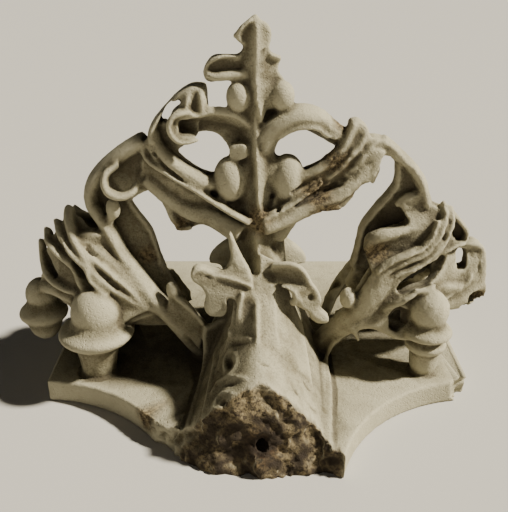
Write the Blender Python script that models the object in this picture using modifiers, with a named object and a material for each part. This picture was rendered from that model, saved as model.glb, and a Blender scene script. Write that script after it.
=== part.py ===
"""Carved limestone fleuron from the top of a gable: one block of stone.

A square plate with scooped corners carries a trunk that forks into two openwork leaf wings
with hanging buds, and a stem with two collars of bulbs under a top leaf. The leaf that once
ran down the front is lost, and its broken root shows a hole for a repair dowel.

Metres, +Z up, the viewer at -Y. The underside's middle, below the trunk, is the origin.
"""

import math

import bmesh
import bpy
from mathutils import Matrix, Vector, noise
from mathutils.geometry import tessellate_polygon

# Plate
PLATE_THICK = 0.030
PLATE_HALF = 0.270
HORN_HALF = 0.088
BACK_HALF = 0.195
BACK_CORNER = 0.120
SCOOP_OFFSET = 0.0135
BACK_SCOOP_SAG = 0.018

# Carving, whose forms are drawn in millimetres above the plate at this height
CARVED_HEIGHT = 0.438
DRAWN_HEIGHT = 438
UNIT = CARVED_HEIGHT / DRAWN_HEIGHT
FOOT_HALF = 0.085
SUNK = 8

# Hole of the repair dowel in the front break
DOWEL_DIAMETER = 0.015
DOWEL_DEPTH = 0.050
DOWEL_HEIGHT = 0.034
DOWEL_OFFSET = 0.004

# Fineness of the solid
VOXEL = 0.0035
SKIN_TRIANGLES = 8600

# Break at the front, which steps back above the plate and leans away from the viewer
BREAK_ROUGHNESS = 0.006
BREAK_COARSE = 0.030
BREAK_FINE = 0.011
BREAK_STEP = 0.010
BREAK_LEAN = 0.35
BREAK_TOP = 0.110
BREAK_SEED = 4
CHIP_RADIUS = 0.026

STONE = (0.48, 0.42, 0.32, 1.0)


def at(point):
    """World place of a point drawn in millimetres above the plate."""
    x, y, z = point
    return Vector((x * UNIT, y * UNIT, z * UNIT + PLATE_THICK))


def mixed(values, share):
    """Value at a share of the way through a start, a middle and an end value."""
    first, middle, last = values
    if share < 0.5:
        return first + (middle - first) * 2 * share
    return middle + (last - middle) * (2 * share - 1)


def curve_through(points, count):
    """Evenly spaced places on a smooth curve through a few points."""
    knots = [Vector(point) for point in points]
    knots = [2 * knots[0] - knots[1]] + knots + [2 * knots[-1] - knots[-2]]
    dense = []
    for a, b, c, d in zip(knots, knots[1:], knots[2:], knots[3:]):
        for step in range(12):
            t = step / 12
            bend = (2 * a - 5 * b + 4 * c - d) * t * t + (3 * b - a - 3 * c + d) * t**3
            dense.append((2 * b + (c - a) * t + bend) / 2)
    dense.append(knots[-2])
    run = [0.0]
    for before, after in zip(dense, dense[1:]):
        run.append(run[-1] + (after - before).length)
    places = []
    index = 0
    for number in range(count):
        goal = run[-1] * number / (count - 1)
        while index < len(run) - 2 and run[index + 1] < goal:
            index += 1
        span = max(run[index + 1] - run[index], 1e-9)
        places.append(dense[index].lerp(dense[index + 1], min((goal - run[index]) / span, 1)))
    return places


def add_loft(mass, rings):
    """Closed body through rings of equal count."""
    loops = [[mass.verts.new(place) for place in ring] for ring in rings]
    count = len(loops[0])
    for lower, upper in zip(loops, loops[1:]):
        for i in range(count):
            j = (i + 1) % count
            mass.faces.new((lower[i], lower[j], upper[j], upper[i]))
    mass.faces.new(loops[0][::-1])
    mass.faces.new(loops[-1])


def add_rib(mass, path, wide, deep, flat=(0, 1, 0), steps=14, sides=10):
    """Tapered rib along a smooth path: wide in the picture plane, deep along flat."""
    places = curve_through(path, steps)
    rings = []
    for number, place in enumerate(places):
        share = number / (steps - 1)
        ahead = places[min(number + 1, steps - 1)] - places[max(number - 1, 0)]
        ahead.normalize()
        into = Vector(flat)
        into = (into - ahead * into.dot(ahead)).normalized()
        side = ahead.cross(into)
        half_wide = mixed(wide, share) / 2
        half_deep = mixed(deep, share) / 2
        ring = []
        for corner in range(sides):
            angle = math.tau * corner / sides
            offset = side * half_wide * math.cos(angle) + into * half_deep * math.sin(angle)
            ring.append(at(place + offset))
        rings.append(ring)
    add_loft(mass, rings)


def add_web(mass, curves, thickness, along=12, back=0):
    """Sheet of stone stretched over neighbouring curves, set back from them towards the middle."""
    grid = [curve_through(curve, along) for curve in curves]
    for row in grid[1:-1]:
        for place in row:
            place.y -= math.copysign(min(back, abs(place.y)), place.y)
    rows = len(grid)
    fronts = []
    backs = []
    for i in range(rows):
        front_row = []
        back_row = []
        for j in range(along):
            down = grid[min(i + 1, rows - 1)][j] - grid[max(i - 1, 0)][j]
            out = grid[i][min(j + 1, along - 1)] - grid[i][max(j - 1, 0)]
            normal = down.cross(out)
            normal = normal.normalized() if normal.length > 1e-6 else Vector((0, 1, 0))
            front_row.append(mass.verts.new(at(grid[i][j] + normal * thickness / 2)))
            back_row.append(mass.verts.new(at(grid[i][j] - normal * thickness / 2)))
        fronts.append(front_row)
        backs.append(back_row)
    for i in range(rows - 1):
        for j in range(along - 1):
            mass.faces.new((fronts[i][j], fronts[i + 1][j], fronts[i + 1][j + 1], fronts[i][j + 1]))
            mass.faces.new((backs[i][j], backs[i][j + 1], backs[i + 1][j + 1], backs[i + 1][j]))
    rim = [(0, j) for j in range(along)] + [(i, along - 1) for i in range(1, rows)]
    rim += [(rows - 1, j) for j in range(along - 2, -1, -1)] + [(i, 0) for i in range(rows - 2, 0, -1)]
    for (i, j), (k, m) in zip(rim, rim[1:] + rim[:1]):
        mass.faces.new((fronts[i][j], fronts[k][m], backs[k][m], backs[i][j]))


def add_leaf(mass, outline, thickness):
    """Leaf cut to an outline that faces the viewer."""
    half = Vector((0, thickness / 2, 0))
    front = [mass.verts.new(at(Vector(point) - half)) for point in outline]
    back = [mass.verts.new(at(Vector(point) + half)) for point in outline]
    for a, b, c in tessellate_polygon([[Vector((point[0], point[2], 0)) for point in outline]]):
        mass.faces.new((front[a], front[b], front[c]))
        mass.faces.new((back[c], back[b], back[a]))
    for i in range(len(outline)):
        j = (i + 1) % len(outline)
        mass.faces.new((front[i], back[i], back[j], front[j]))


def add_ball(mass, centre, radius, stretch=(1, 1, 1)):
    """Ball or egg of stone."""
    place = Matrix.Translation(at(centre)) @ Matrix.Diagonal((*stretch, 1))
    bmesh.ops.create_uvsphere(mass, u_segments=18, v_segments=12, radius=radius * UNIT, matrix=place)


def add_turned(mass, centre, profile, sides=20):
    """Round body from its profile of (radius, height) around the centre."""
    x, y, z = centre
    rings = []
    for radius, height in profile:
        ring = []
        for corner in range(sides):
            angle = math.tau * corner / sides
            ring.append(at((x + radius * math.cos(angle), y + radius * math.sin(angle), z + height)))
        rings.append(ring)
    add_loft(mass, rings)


def add_bud(mass, centre, ball, brim, foot, drop):
    """Ball seated on a flaring brim over a tapering cup."""
    add_ball(mass, centre, ball, (1, 1, 1.15))
    brim_drop = -1.0 * ball
    profile = [
        (foot, -drop),
        (foot * 1.05, -drop * 0.8),
        (brim * 0.62, brim_drop - 0.25 * ball),
        (brim * 0.97, brim_drop),
        (brim, brim_drop + 4),
        (ball * 1.05, -ball * 0.35),
        (ball * 0.5, 0),
    ]
    add_turned(mass, centre, profile)


def add_trunk(mass):
    """Trunk that flares to the plate, with its arris at the front."""
    rings = []
    for height, half, front, back in (
        (-SUNK, 86, 100, 80),
        (12, 80, 96, 74),
        (45, 64, 84, 60),
        (85, 51, 70, 48),
        (125, 42, 58, 40),
        (165, 37, 42, 34),
        (205, 34, 34, 30),
        (228, 26, 24, 26),
    ):
        ring = []
        for corner in range(24):
            angle = math.tau * corner / 24
            across = math.sin(angle)
            facing = math.cos(angle)
            reach = front if facing > 0 else back
            pinch = 1 - 0.18 * math.sin(2 * angle) ** 2
            ring.append(at((half * across * pinch, -reach * facing * pinch, height)))
        rings.append(ring)
    add_loft(mass, rings)


def ridge_crest(y):
    """Height of the front ridge's arris at a depth."""
    stations = ((-250, 52), (-195, 68), (-135, 92), (-85, 125), (-50, 165), (-32, 200), (0, 215))
    for (near, low), (far, high) in zip(stations, stations[1:]):
        if y <= far:
            return low + (high - low) * (y - near) / (far - near)
    return stations[-1][1]


def add_front_ridge(mass):
    """Keel-shaped root of the lost front leaf, from the plate's front up to the fork."""
    half_foot = FOOT_HALF / UNIT
    rings = []
    for step in range(17):
        y = -250 + step * 15
        crest = ridge_crest(y)
        ring = [at((-half_foot, y, -SUNK))]
        for corner in range(-8, 9):
            share = abs(corner) / 8
            height = crest * (1 - share**1.55)
            ring.append(at((half_foot * corner / 8 * (1 - 0.10 * (1 - share)), y, height)))
        ring.append(at((half_foot, y, -SUNK)))
        rings.append(ring)
    add_loft(mass, rings)
    for side in (-1, 1):
        foot = [(side * half_foot, y, 3) for y in (-245, -160, -70)] + [(side * half_foot * 0.92, -20, 14)]
        add_rib(mass, foot, (9, 9, 9), (9, 9, 9), flat=(0, 0, 1))


def add_stem(mass):
    """Upper stem with its front arris, its two collars of bulbs and the top leaf."""
    add_rib(mass, [(-4, 0, 190), (-1, 0, 250), (0, 0, 310), (0, 0, 365)], (52, 34, 26), (60, 44, 30), sides=8)
    arris = [(-4, -34, 196), (-2, -27, 222), (0, -33, 250), (0, -24, 300), (0, -22, 345), (1, -14, 372)]
    add_rib(mass, arris, (14, 11, 8), (22, 20, 14), sides=6)
    for side in (-1, 1):
        for front in (-1, 1):
            add_ball(mass, (side * 35, front * 13, 243), 21, (1, 1.1, 1.4))
            add_ball(mass, (side * 18, front * 8, 250), 17, (1, 1.1, 1.3))
            add_ball(mass, (side * 25, front * 9, 346), 15, (1, 1.1, 1.2))
            add_ball(mass, (side * 10, front * 7, 346), 14)
    add_leaf(mass, [(-24, -24, 275), (-9, -24, 280), (-8, -24, 266), (-22, -24, 266)], 16)
    add_top_leaf(mass)


def add_top_leaf(mass):
    """Leaf at the top: a point, a curled lobe on the left and a broken right edge."""
    outline = [
        (-4, 438), (6, 426), (17, 408), (13, 398), (28, 398), (24, 382), (31, 362), (14, 357), (0, 353),
        (-13, 356), (-30, 362), (-45, 360), (-58, 356), (-66, 368), (-60, 382), (-46, 391), (-21, 396),
        (-25, 404), (-32, 412), (-22, 418), (-13, 430),
    ]
    add_leaf(mass, [(x, 0, z) for x, z in outline], 20)
    add_rib(mass, [(0, -8, 352), (1, -13, 385), (2, -12, 410), (-3, -3, 436)], (16, 15, 6), (22, 22, 10), sides=6)
    add_rib(mass, [(-14, -7, 375), (-34, -10, 379), (-50, -8, 378), (-58, -4, 371)], (16, 18, 18), (16, 20, 26))


def add_front_leaf(mass):
    """Small leaf draped over the crest, whole on the left and worn on the right."""
    left = [
        (-35, -62, 198), (-28, -72, 180), (-12, -78, 160), (-4, -90, 130), (-9, -100, 100), (-12, -108, 76),
        (-24, -106, 80), (-25, -98, 104), (-28, -90, 120), (-37, -88, 119), (-37, -88, 105), (-45, -86, 97),
        (-64, -84, 99), (-67, -84, 115), (-62, -82, 130), (-75, -78, 138), (-81, -75, 149), (-73, -74, 157),
        (-58, -72, 154), (-44, -70, 157), (-38, -66, 172),
    ]
    add_leaf(mass, left, 15)
    right = [
        (2, -84, 148), (14, -80, 156), (30, -76, 159), (52, -76, 158), (60, -78, 148), (72, -80, 138),
        (86, -82, 116), (83, -82, 92), (67, -82, 88), (60, -84, 104), (44, -86, 112), (34, -86, 124),
        (22, -88, 128), (14, -92, 118), (6, -96, 122),
    ]
    add_leaf(mass, right, 14)


def add_arm(mass, side):
    """Lower arm: a leaf sheet with two ridges, from the fork out to the wing."""
    upper = [(30, 2, 250), (66, 2, 252), (86, 2, 268), (104, 2, 288), (132, 2, 300)]
    middle = [(30, -8, 210), (60, -8, 222), (84, -8, 232), (112, -6, 254), (138, -2, 284)]
    lower = [(30, 2, 170), (60, 2, 186), (88, 2, 184), (114, 2, 204), (146, 2, 240)]
    mirrored = [[(side * x, y, z) for x, y, z in edge] for edge in (upper, middle, lower)]
    add_web(mass, mirrored, 24)
    high = [(28, -20, 246), (64, -18, 238), (90, -18, 252), (114, -14, 276), (130, -8, 294)]
    low = [(12, -34, 200), (46, -28, 214), (76, -24, 226), (108, -18, 246), (140, -8, 276)]
    for ridge in (high, low):
        add_rib(mass, [(side * x, y, z) for x, y, z in ridge], (18, 17, 15), (26, 24, 24))


def add_arch(mass, side):
    """Ribbon that leaves the stem, turns over and comes down to the arm."""
    path = [(6, 0, 288), (24, 0, 304), (46, 0, 319), (70, 0, 321), (92, 0, 306), (106, 0, 290)]
    add_rib(mass, [(side * x, y, z) for x, y, z in path], (34, 28, 26), (44, 58, 48))


def add_left_scroll(mass):
    """Hollow scroll with a curled rim at the end of the left arch, and the sheet below it."""
    outer = [(-136, 4, 296), (-166, 2, 268), (-186, 0, 250)]
    inner = [(-124, 8, 236), (-146, 8, 224), (-164, 8, 214)]
    add_web(mass, [outer, inner], 22)
    hood = [(-58, 4, 334), (-66, 6, 352), (-84, 6, 354), (-106, 4, 338), (-126, 2, 312), (-135, 0, 284)]
    add_rib(mass, hood, (18, 16, 18), (44, 58, 52))
    rim = [(-76, -30, 350), (-98, -32, 342), (-106, -32, 324), (-98, -32, 308), (-78, -30, 302)]
    add_rib(mass, rim, (10, 13, 11), (20, 24, 20))


def add_right_shoulder(mass):
    """Rough end of the right arm, where it met the lost part of the scroll."""
    lobe = [(104, 2, 290), (122, 2, 300), (146, 2, 284), (162, 2, 272), (184, 0, 264)]
    add_rib(mass, lobe, (26, 26, 22), (40, 36, 36))


def add_wing(mass, side):
    """Big leaf: a spine that climbs and turns over, and two half-blades that fall from it."""
    spine = [
        (66, -16, -4), (92, -26, 48), (126, -34, 84), (152, -32, 114), (182, -17, 158), (188, -10, 196),
        (209, -2, 226), (203, 0, 248), (174, 0, 262), (140, 0, 278),
    ]
    fan = {
        "margin": [(78, -34, 50), (104, -54, 70), (136, -62, 68), (172, -62, 54)],
        "tip": [(84, -32, 52), (136, -60, 80), (206, -60, 100), (252, -28, 104), (286, -4, 100)],
        "outer": [(86, -32, 54), (140, -58, 86), (206, -60, 110), (262, -26, 122), (280, -6, 160)],
        "lobe": [(86, -30, 56), (142, -58, 90), (222, -58, 120), (250, -40, 152), (268, -16, 176)],
        "middle": [(86, -30, 58), (140, -58, 92), (190, -60, 120), (206, -55, 164), (238, -14, 210)],
        "inner": [(88, -28, 60), (124, -52, 84), (170, -54, 132), (200, -46, 162), (230, -8, 205)],
    }
    spine_edge = [(92, -26, 62), (152, -32, 114), (186, -14, 166), (200, -4, 210), (212, 0, 232)]
    for front in (1, -1):
        ordered = list(fan.values()) + [spine_edge]
        half = [[(side * x, front * y, z) for x, y, z in curve] for curve in ordered]
        add_web(mass, half, 11, back=9)
    sizes = {"tip": 20, "outer": 14, "lobe": 15, "middle": 18, "inner": 15}
    for name, wide in sizes.items():
        ridge = [(side * x, y, z) for x, y, z in fan[name]]
        add_rib(mass, ridge, (wide * 0.7, wide, wide * 0.9), (22, 30, 24))
    back_ridge = [(side * x, -y, z) for x, y, z in fan["middle"]]
    add_rib(mass, back_ridge, (12, 18, 16), (18, 22, 20))
    add_rib(mass, [(side * x, y, z) for x, y, z in spine], (30, 25, 20), (44, 38, 42), steps=24)
    inner = [(112, 4, 104), (128, 6, 140), (138, 6, 172), (156, 6, 200), (170, 6, 228), (160, 6, 256)]
    crown = [(118, -10, 92), (156, -14, 130), (180, -8, 164), (190, -4, 200), (204, 0, 226), (186, 0, 256)]
    add_web(mass, [[(side * x, y, z) for x, y, z in edge] for edge in (inner, crown)], 14)


def add_wing_lobes(mass, side):
    """Small lobes and the cup on the wing's shoulder."""
    cup = [(184, -22, 258), (186, -30, 246), (177, -34, 233), (160, -32, 231), (148, -22, 240)]
    add_rib(mass, [(side * x, y, z) for x, y, z in cup], (9, 13, 9), (14, 18, 12))
    add_ball(mass, (side * 184, -20, 200), 8, (1, 1, 1.4))
    curl = [(62, -60, 68), (72, -62, 84), (92, -62, 112), (114, -52, 128)]
    add_rib(mass, [(side * x, y, z) for x, y, z in curl], (7, 11, 9), (12, 16, 12))
    skirt_low = [(72, -40, 34), (90, -52, 68), (112, -56, 96)]
    skirt_high = [(64, -56, 66), (90, -62, 108), (118, -50, 122)]
    add_web(mass, [[(side * x, y, z) for x, y, z in edge] for edge in (skirt_low, skirt_high)], 10)


def add_right_tip(mass):
    """Flat outer lobes of the right wing, with a curled eye and a rough end where the tip bud is lost."""
    outline = [
        (236, 212), (246, 206), (256, 190), (264, 172), (276, 156), (291, 151), (300, 136), (304, 98),
        (294, 86), (276, 88), (258, 80), (238, 98), (228, 150), (222, 190),
    ]
    add_leaf(mass, [(x, -3, z) for x, z in outline], 24)
    eye = [(270, -14, 150), (262, -18, 152), (256, -18, 140), (258, -18, 126), (268, -16, 120)]
    add_rib(mass, eye, (7, 9, 8), (14, 16, 12))


def add_buds(mass):
    """Hanging buds: one under each half-blade, and one at the left tip."""
    for front in (-1, 1):
        add_bud(mass, (-205, front * 62, 86), 31, 44, 21, 86 + SUNK)
        add_bud(mass, (221, front * 58, 88), 23, 33, 17, 88 + SUNK)
    add_bud(mass, (-291, 0, 84), 21, 32, 15, 66)


def add_back(mass):
    """Plain leaf lobes on the back of the trunk, and a rib down to the plate."""
    for side in (-1, 1):
        lobe = [
            (6, 26, 178), (20, 40, 166), (38, 56, 136), (51, 58, 128), (66, 58, 112), (67, 56, 101),
            (52, 54, 100), (46, 50, 84), (30, 44, 78), (8, 34, 96),
        ]
        add_leaf(mass, [(side * x, y, z) for x, y, z in lobe], 14)
    add_rib(mass, [(0, 20, 210), (0, 56, 160), (0, 80, 90), (0, 96, 10)], (34, 44, 70), (30, 36, 40))


def carving():
    """All carved forms, each a closed body, that the stone joins into one skin."""
    mass = bmesh.new()
    add_trunk(mass)
    add_front_ridge(mass)
    add_stem(mass)
    add_front_leaf(mass)
    for side in (-1, 1):
        add_arm(mass, side)
        add_arch(mass, side)
        add_wing(mass, side)
        add_wing_lobes(mass, side)
    add_left_scroll(mass)
    add_right_shoulder(mass)
    add_right_tip(mass)
    add_buds(mass)
    add_back(mass)
    bmesh.ops.recalc_face_normals(mass, faces=mass.faces)
    mesh = bpy.data.meshes.new("carving")
    mass.to_mesh(mesh)
    mass.free()
    return mesh


def new_object(name, mesh, group):
    """Object in a collection."""
    thing = bpy.data.objects.new(name, mesh)
    group.objects.link(thing)
    return thing


def new_collection(name):
    """Collection in the scene."""
    group = bpy.data.collections.new(name)
    bpy.context.scene.collection.children.link(group)
    return group


def keep_largest_skin(mesh):
    """Remove the walls of hollows sealed inside the stone."""
    skin = bmesh.new()
    skin.from_mesh(mesh)
    unseen = set(skin.verts)
    islands = []
    while unseen:
        island = set()
        front = [unseen.pop()]
        while front:
            vert = front.pop()
            island.add(vert)
            for edge in vert.link_edges:
                other = edge.other_vert(vert)
                if other in unseen:
                    unseen.remove(other)
                    front.append(other)
        islands.append(island)
    islands.sort(key=len)
    inner = [vert for island in islands[:-1] for vert in island]
    bmesh.ops.delete(skin, geom=inner, context="VERTS")
    skin.to_mesh(mesh)
    skin.free()


def evaluated_mesh(thing):
    """Mesh of an object with its modifiers applied."""
    graph = bpy.context.evaluated_depsgraph_get()
    return bpy.data.meshes.new_from_object(thing.evaluated_get(graph))


def fused_skin(mesh, group):
    """One closed skin over the carved forms, softened as worn stone."""
    thing = new_object("skin", mesh, group)
    fuse = thing.modifiers.new("fuse", "REMESH")
    fuse.mode = "VOXEL"
    fuse.voxel_size = VOXEL
    wear = thing.modifiers.new("wear", "SMOOTH")
    wear.factor = 0.5
    wear.iterations = 3
    skin = evaluated_mesh(thing)
    bpy.data.objects.remove(thing)
    keep_largest_skin(skin)
    return skin


def arc_points(centre, start, end, count):
    """Points on an arc about a centre, from one point to another."""
    first = math.atan2(start[1] - centre[1], start[0] - centre[0])
    last = math.atan2(end[1] - centre[1], end[0] - centre[0])
    turn = (last - first + math.pi) % math.tau - math.pi
    radius_first = math.hypot(start[0] - centre[0], start[1] - centre[1])
    radius_last = math.hypot(end[0] - centre[0], end[1] - centre[1])
    points = []
    for number in range(count):
        share = number / (count - 1)
        angle = first + turn * share
        radius = radius_first + (radius_last - radius_first) * share
        points.append((centre[0] + radius * math.cos(angle), centre[1] + radius * math.sin(angle)))
    return points


def plate_outline():
    """Square with scooped corners: deep ones in front, shallow ones at the back."""
    scoop_centre = PLATE_HALF + SCOOP_OFFSET
    front = (scoop_centre, -scoop_centre)
    scoop = arc_points(front, (HORN_HALF, -PLATE_HALF), (PLATE_HALF, -HORN_HALF), 13)
    middle = ((PLATE_HALF + BACK_HALF) / 2, (PLATE_HALF + BACK_CORNER) / 2)
    chord = math.hypot(PLATE_HALF - BACK_HALF, PLATE_HALF - BACK_CORNER)
    reach = (chord * chord / 4 - BACK_SCOOP_SAG**2) / (2 * BACK_SCOOP_SAG)
    out = ((PLATE_HALF - BACK_CORNER) / chord, (PLATE_HALF - BACK_HALF) / chord)
    centre = (middle[0] + out[0] * reach, middle[1] + out[1] * reach)
    back = arc_points(centre, (PLATE_HALF, BACK_CORNER), (BACK_HALF, PLATE_HALF), 7)
    half = scoop + back
    return half + [(-x, y) for x, y in reversed(half)]


def add_prism(mass, outline, bottom, top):
    """Upright prism on an outline."""
    add_loft(mass, [[Vector((x, y, z)) for x, y in outline] for z in (bottom, top)])


def solid_object(name, group, build):
    """Object with a closed mesh that a function builds."""
    mass = bmesh.new()
    build(mass)
    bmesh.ops.recalc_face_normals(mass, faces=mass.faces)
    mesh = bpy.data.meshes.new(name)
    mass.to_mesh(mesh)
    mass.free()
    return new_object(name, mesh, group)


def roughened(place, seed):
    """Place moved by the uneven surface of a break."""
    spread = Vector((seed, 0, 0))
    rough = noise.noise_vector(place / BREAK_COARSE + spread) * BREAK_ROUGHNESS * 1.6
    return place + rough + noise.noise_vector(place / BREAK_FINE + spread) * BREAK_ROUGHNESS * 0.7


def front_break(mass):
    """Stone lost at the front: the leaf's root and the plate's left horn."""
    line = [
        (-0.74, -0.78), (-0.585, -0.58), (-0.45, -0.637), (-0.32, -0.74), (-0.25, -0.79), (-0.17, -0.822),
        (0.015, -0.852), (0.21, -0.822), (0.275, -0.815), (0.333, -0.863), (0.41, -0.944), (0.52, -1.11),
    ]
    path = curve_through([(x * PLATE_HALF, y * PLATE_HALF, 0) for x, y in line], 30)
    rings = []
    bottom = -PLATE_THICK / 3
    levels = 7
    for level in range(levels):
        height = bottom + (BREAK_TOP - bottom) * level / (levels - 1)
        lean = BREAK_STEP + BREAK_LEAN * (height - PLATE_THICK) if height > PLATE_THICK else 0
        edge = [roughened(Vector((p.x, p.y + lean, height)), 3.0) for p in path]
        far = [Vector((x * PLATE_HALF, -1.5 * PLATE_HALF, height)) for x in (0.75, -1.05)]
        rings.append(edge + far)
    add_loft(mass, rings)


def corner_chip(mass):
    """Bite out of the plate's right corner."""
    beyond = CHIP_RADIUS / 4
    centre = Vector((PLATE_HALF + beyond, -HORN_HALF - beyond, PLATE_THICK * 0.75))
    bmesh.ops.create_icosphere(mass, subdivisions=2, radius=CHIP_RADIUS, matrix=Matrix.Translation(centre))
    for vert in mass.verts:
        vert.co = roughened(vert.co, 9.0)


def dowel_hole(mass):
    """Bore for the dowel that once held a repair to the break."""
    break_face = 0.84 * PLATE_HALF
    mouth = 1.10 * PLATE_HALF
    front = Vector((DOWEL_OFFSET, -mouth, DOWEL_HEIGHT))
    reach = mouth - break_face + DOWEL_DEPTH
    turn = Matrix.Rotation(math.pi / 2, 4, "X")
    place = Matrix.Translation(front + Vector((0, reach / 2, 0))) @ turn
    radius = DOWEL_DIAMETER / 2
    bmesh.ops.create_cone(
        mass, cap_ends=True, segments=20, radius1=radius, radius2=radius, depth=reach, matrix=place
    )


def main():
    """Build the fleuron as one solid."""
    for old in list(bpy.data.objects):
        bpy.data.objects.remove(old)
    noise.seed_set(BREAK_SEED)
    group = new_collection("Fleuron")
    cutters = new_collection("Cutters")

    stone = new_object("fleuron", fused_skin(carving(), cutters), group)
    reduce = stone.modifiers.new("facets", "DECIMATE")
    reduce.ratio = min(1, SKIN_TRIANGLES / (2 * len(stone.data.polygons)))

    plate = solid_object("plate", cutters, lambda mass: add_prism(mass, plate_outline(), 0, PLATE_THICK))
    steps = (
        ("join plate", "UNION", plate),
        ("break", "DIFFERENCE", solid_object("front_break", cutters, front_break)),
        ("chip", "DIFFERENCE", solid_object("corner_chip", cutters, corner_chip)),
        ("dowel", "DIFFERENCE", solid_object("dowel_hole", cutters, dowel_hole)),
    )
    for name, operation, other in steps:
        cut = stone.modifiers.new(name, "BOOLEAN")
        cut.operation = operation
        cut.object = other
        cut.solver = "EXACT"
    for cutter in cutters.objects:
        cutter.hide_render = True
        cutter.display_type = "WIRE"

    material = bpy.data.materials.new("weathered limestone")
    material.use_nodes = True
    shader = material.node_tree.nodes["Principled BSDF"]
    shader.inputs["Base Color"].default_value = STONE
    shader.inputs["Roughness"].default_value = 0.9
    stone.data.materials.append(material)


main()
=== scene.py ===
"""Carved limestone fleuron: one block with a scooped plate, a forked trunk, two openwork leaf
wings with hanging buds, and a stem with two collars of bulbs below the top leaf.

The stone is drawn in millimetres above the plate, as the carver would set it out, then fused
into one skin, hollowed with the carver's cuts, broken where it is broken, and weathered,
with shade painted into its hollows and recesses.
"""
import math

import bmesh
import bpy
import numpy as np
from mathutils import Matrix, Vector, noise
from mathutils.bvhtree import BVHTree
from mathutils.geometry import tessellate_polygon


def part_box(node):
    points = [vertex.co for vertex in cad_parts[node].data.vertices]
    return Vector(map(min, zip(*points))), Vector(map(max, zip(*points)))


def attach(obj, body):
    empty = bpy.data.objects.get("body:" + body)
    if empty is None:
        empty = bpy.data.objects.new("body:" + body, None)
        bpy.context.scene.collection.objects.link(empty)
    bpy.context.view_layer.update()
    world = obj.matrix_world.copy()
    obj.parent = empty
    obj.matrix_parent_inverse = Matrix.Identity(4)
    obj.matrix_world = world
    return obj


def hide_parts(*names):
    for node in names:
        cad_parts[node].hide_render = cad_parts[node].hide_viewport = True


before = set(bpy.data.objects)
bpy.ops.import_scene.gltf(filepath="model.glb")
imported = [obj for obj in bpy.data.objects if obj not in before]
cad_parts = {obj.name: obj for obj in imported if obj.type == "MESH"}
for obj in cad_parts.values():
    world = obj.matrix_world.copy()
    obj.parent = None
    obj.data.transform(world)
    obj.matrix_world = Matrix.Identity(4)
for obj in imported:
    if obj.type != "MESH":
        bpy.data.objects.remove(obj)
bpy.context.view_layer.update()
stone_low, stone_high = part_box("fleuron")

# Setting out, in metres, tied to the frame's solid
PLATE_THICK = 0.030
DRAWN_HEIGHT = 437
UNIT = (stone_high.z - PLATE_THICK) / DRAWN_HEIGHT
PLATE_HALF = stone_high.y
HORN_HALF = 0.088
BACK_HALF = 0.195
BACK_CORNER = 0.120
SCOOP_CENTRE = 0.2835
BACK_SCOOP_SAG = 0.018
DOWEL_DIAMETER = 0.015
DOWEL_DEPTH = 0.050
DOWEL_AT = (0.004, 0.034)

MILLIMETRE = 0.001
# Drawn millimetres that the roots of the forms reach down into the plate
SUNK = 8

# Fineness of the mesh
VOXEL = 0.0020
TRIANGLES = 192000

# Start of the random unevenness of the breaks
BREAK_SEED = 4


def at(point):
    """World place of a point drawn in millimetres above the plate."""
    x, y, z = point
    return Vector((x * UNIT, y * UNIT, z * UNIT + PLATE_THICK))


def mixed(values, share):
    """Value part of the way through a start, a middle and an end value."""
    first, middle, last = values
    if share < 0.5:
        return first + (middle - first) * 2 * share
    return middle + (last - middle) * (2 * share - 1)


def curve_through(points, count):
    """Evenly spaced places on a smooth curve through a few points."""
    knots = [Vector(point) for point in points]
    knots = [2 * knots[0] - knots[1]] + knots + [2 * knots[-1] - knots[-2]]
    dense = []
    for a, b, c, d in zip(knots, knots[1:], knots[2:], knots[3:]):
        for step in range(12):
            t = step / 12
            bend = (2 * a - 5 * b + 4 * c - d) * t * t + (3 * b - a - 3 * c + d) * t**3
            dense.append((2 * b + (c - a) * t + bend) / 2)
    dense.append(knots[-2])
    run = [0.0]
    for before, after in zip(dense, dense[1:]):
        run.append(run[-1] + (after - before).length)
    places = []
    index = 0
    for number in range(count):
        goal = run[-1] * number / (count - 1)
        while index < len(run) - 2 and run[index + 1] < goal:
            index += 1
        span = max(run[index + 1] - run[index], 1e-9)
        places.append(dense[index].lerp(dense[index + 1], min((goal - run[index]) / span, 1)))
    return places


def loft(mass, rings):
    """Closed body through rings of equal count."""
    loops = [[mass.verts.new(place) for place in ring] for ring in rings]
    count = len(loops[0])
    for lower, upper in zip(loops, loops[1:]):
        for i in range(count):
            j = (i + 1) % count
            mass.faces.new((lower[i], lower[j], upper[j], upper[i]))
    mass.faces.new(loops[0][::-1])
    mass.faces.new(loops[-1])


def rib(mass, path, wide, deep, flat=(0, 1, 0), steps=20, sides=12, keel=1.0):
    """Tapered rib along a smooth path: wide in the picture plane, deep along flat.

    A keel under 1 draws the section in towards a sharp crest.
    """
    places = curve_through(path, steps)
    rings = []
    for number, place in enumerate(places):
        share = number / (steps - 1)
        ahead = (places[min(number + 1, steps - 1)] - places[max(number - 1, 0)]).normalized()
        into = Vector(flat)
        into = (into - ahead * into.dot(ahead)).normalized()
        side = ahead.cross(into)
        half_wide = mixed(wide, share) / 2
        half_deep = mixed(deep, share) / 2
        ring = []
        for corner in range(sides):
            angle = math.tau * corner / sides
            draw = keel + (1 - keel) * max(abs(math.sin(angle)), abs(math.cos(angle))) ** 3
            offset = side * half_wide * math.cos(angle) + into * half_deep * math.sin(angle)
            ring.append(at(place + offset * draw))
        rings.append(ring)
    loft(mass, rings)


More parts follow.
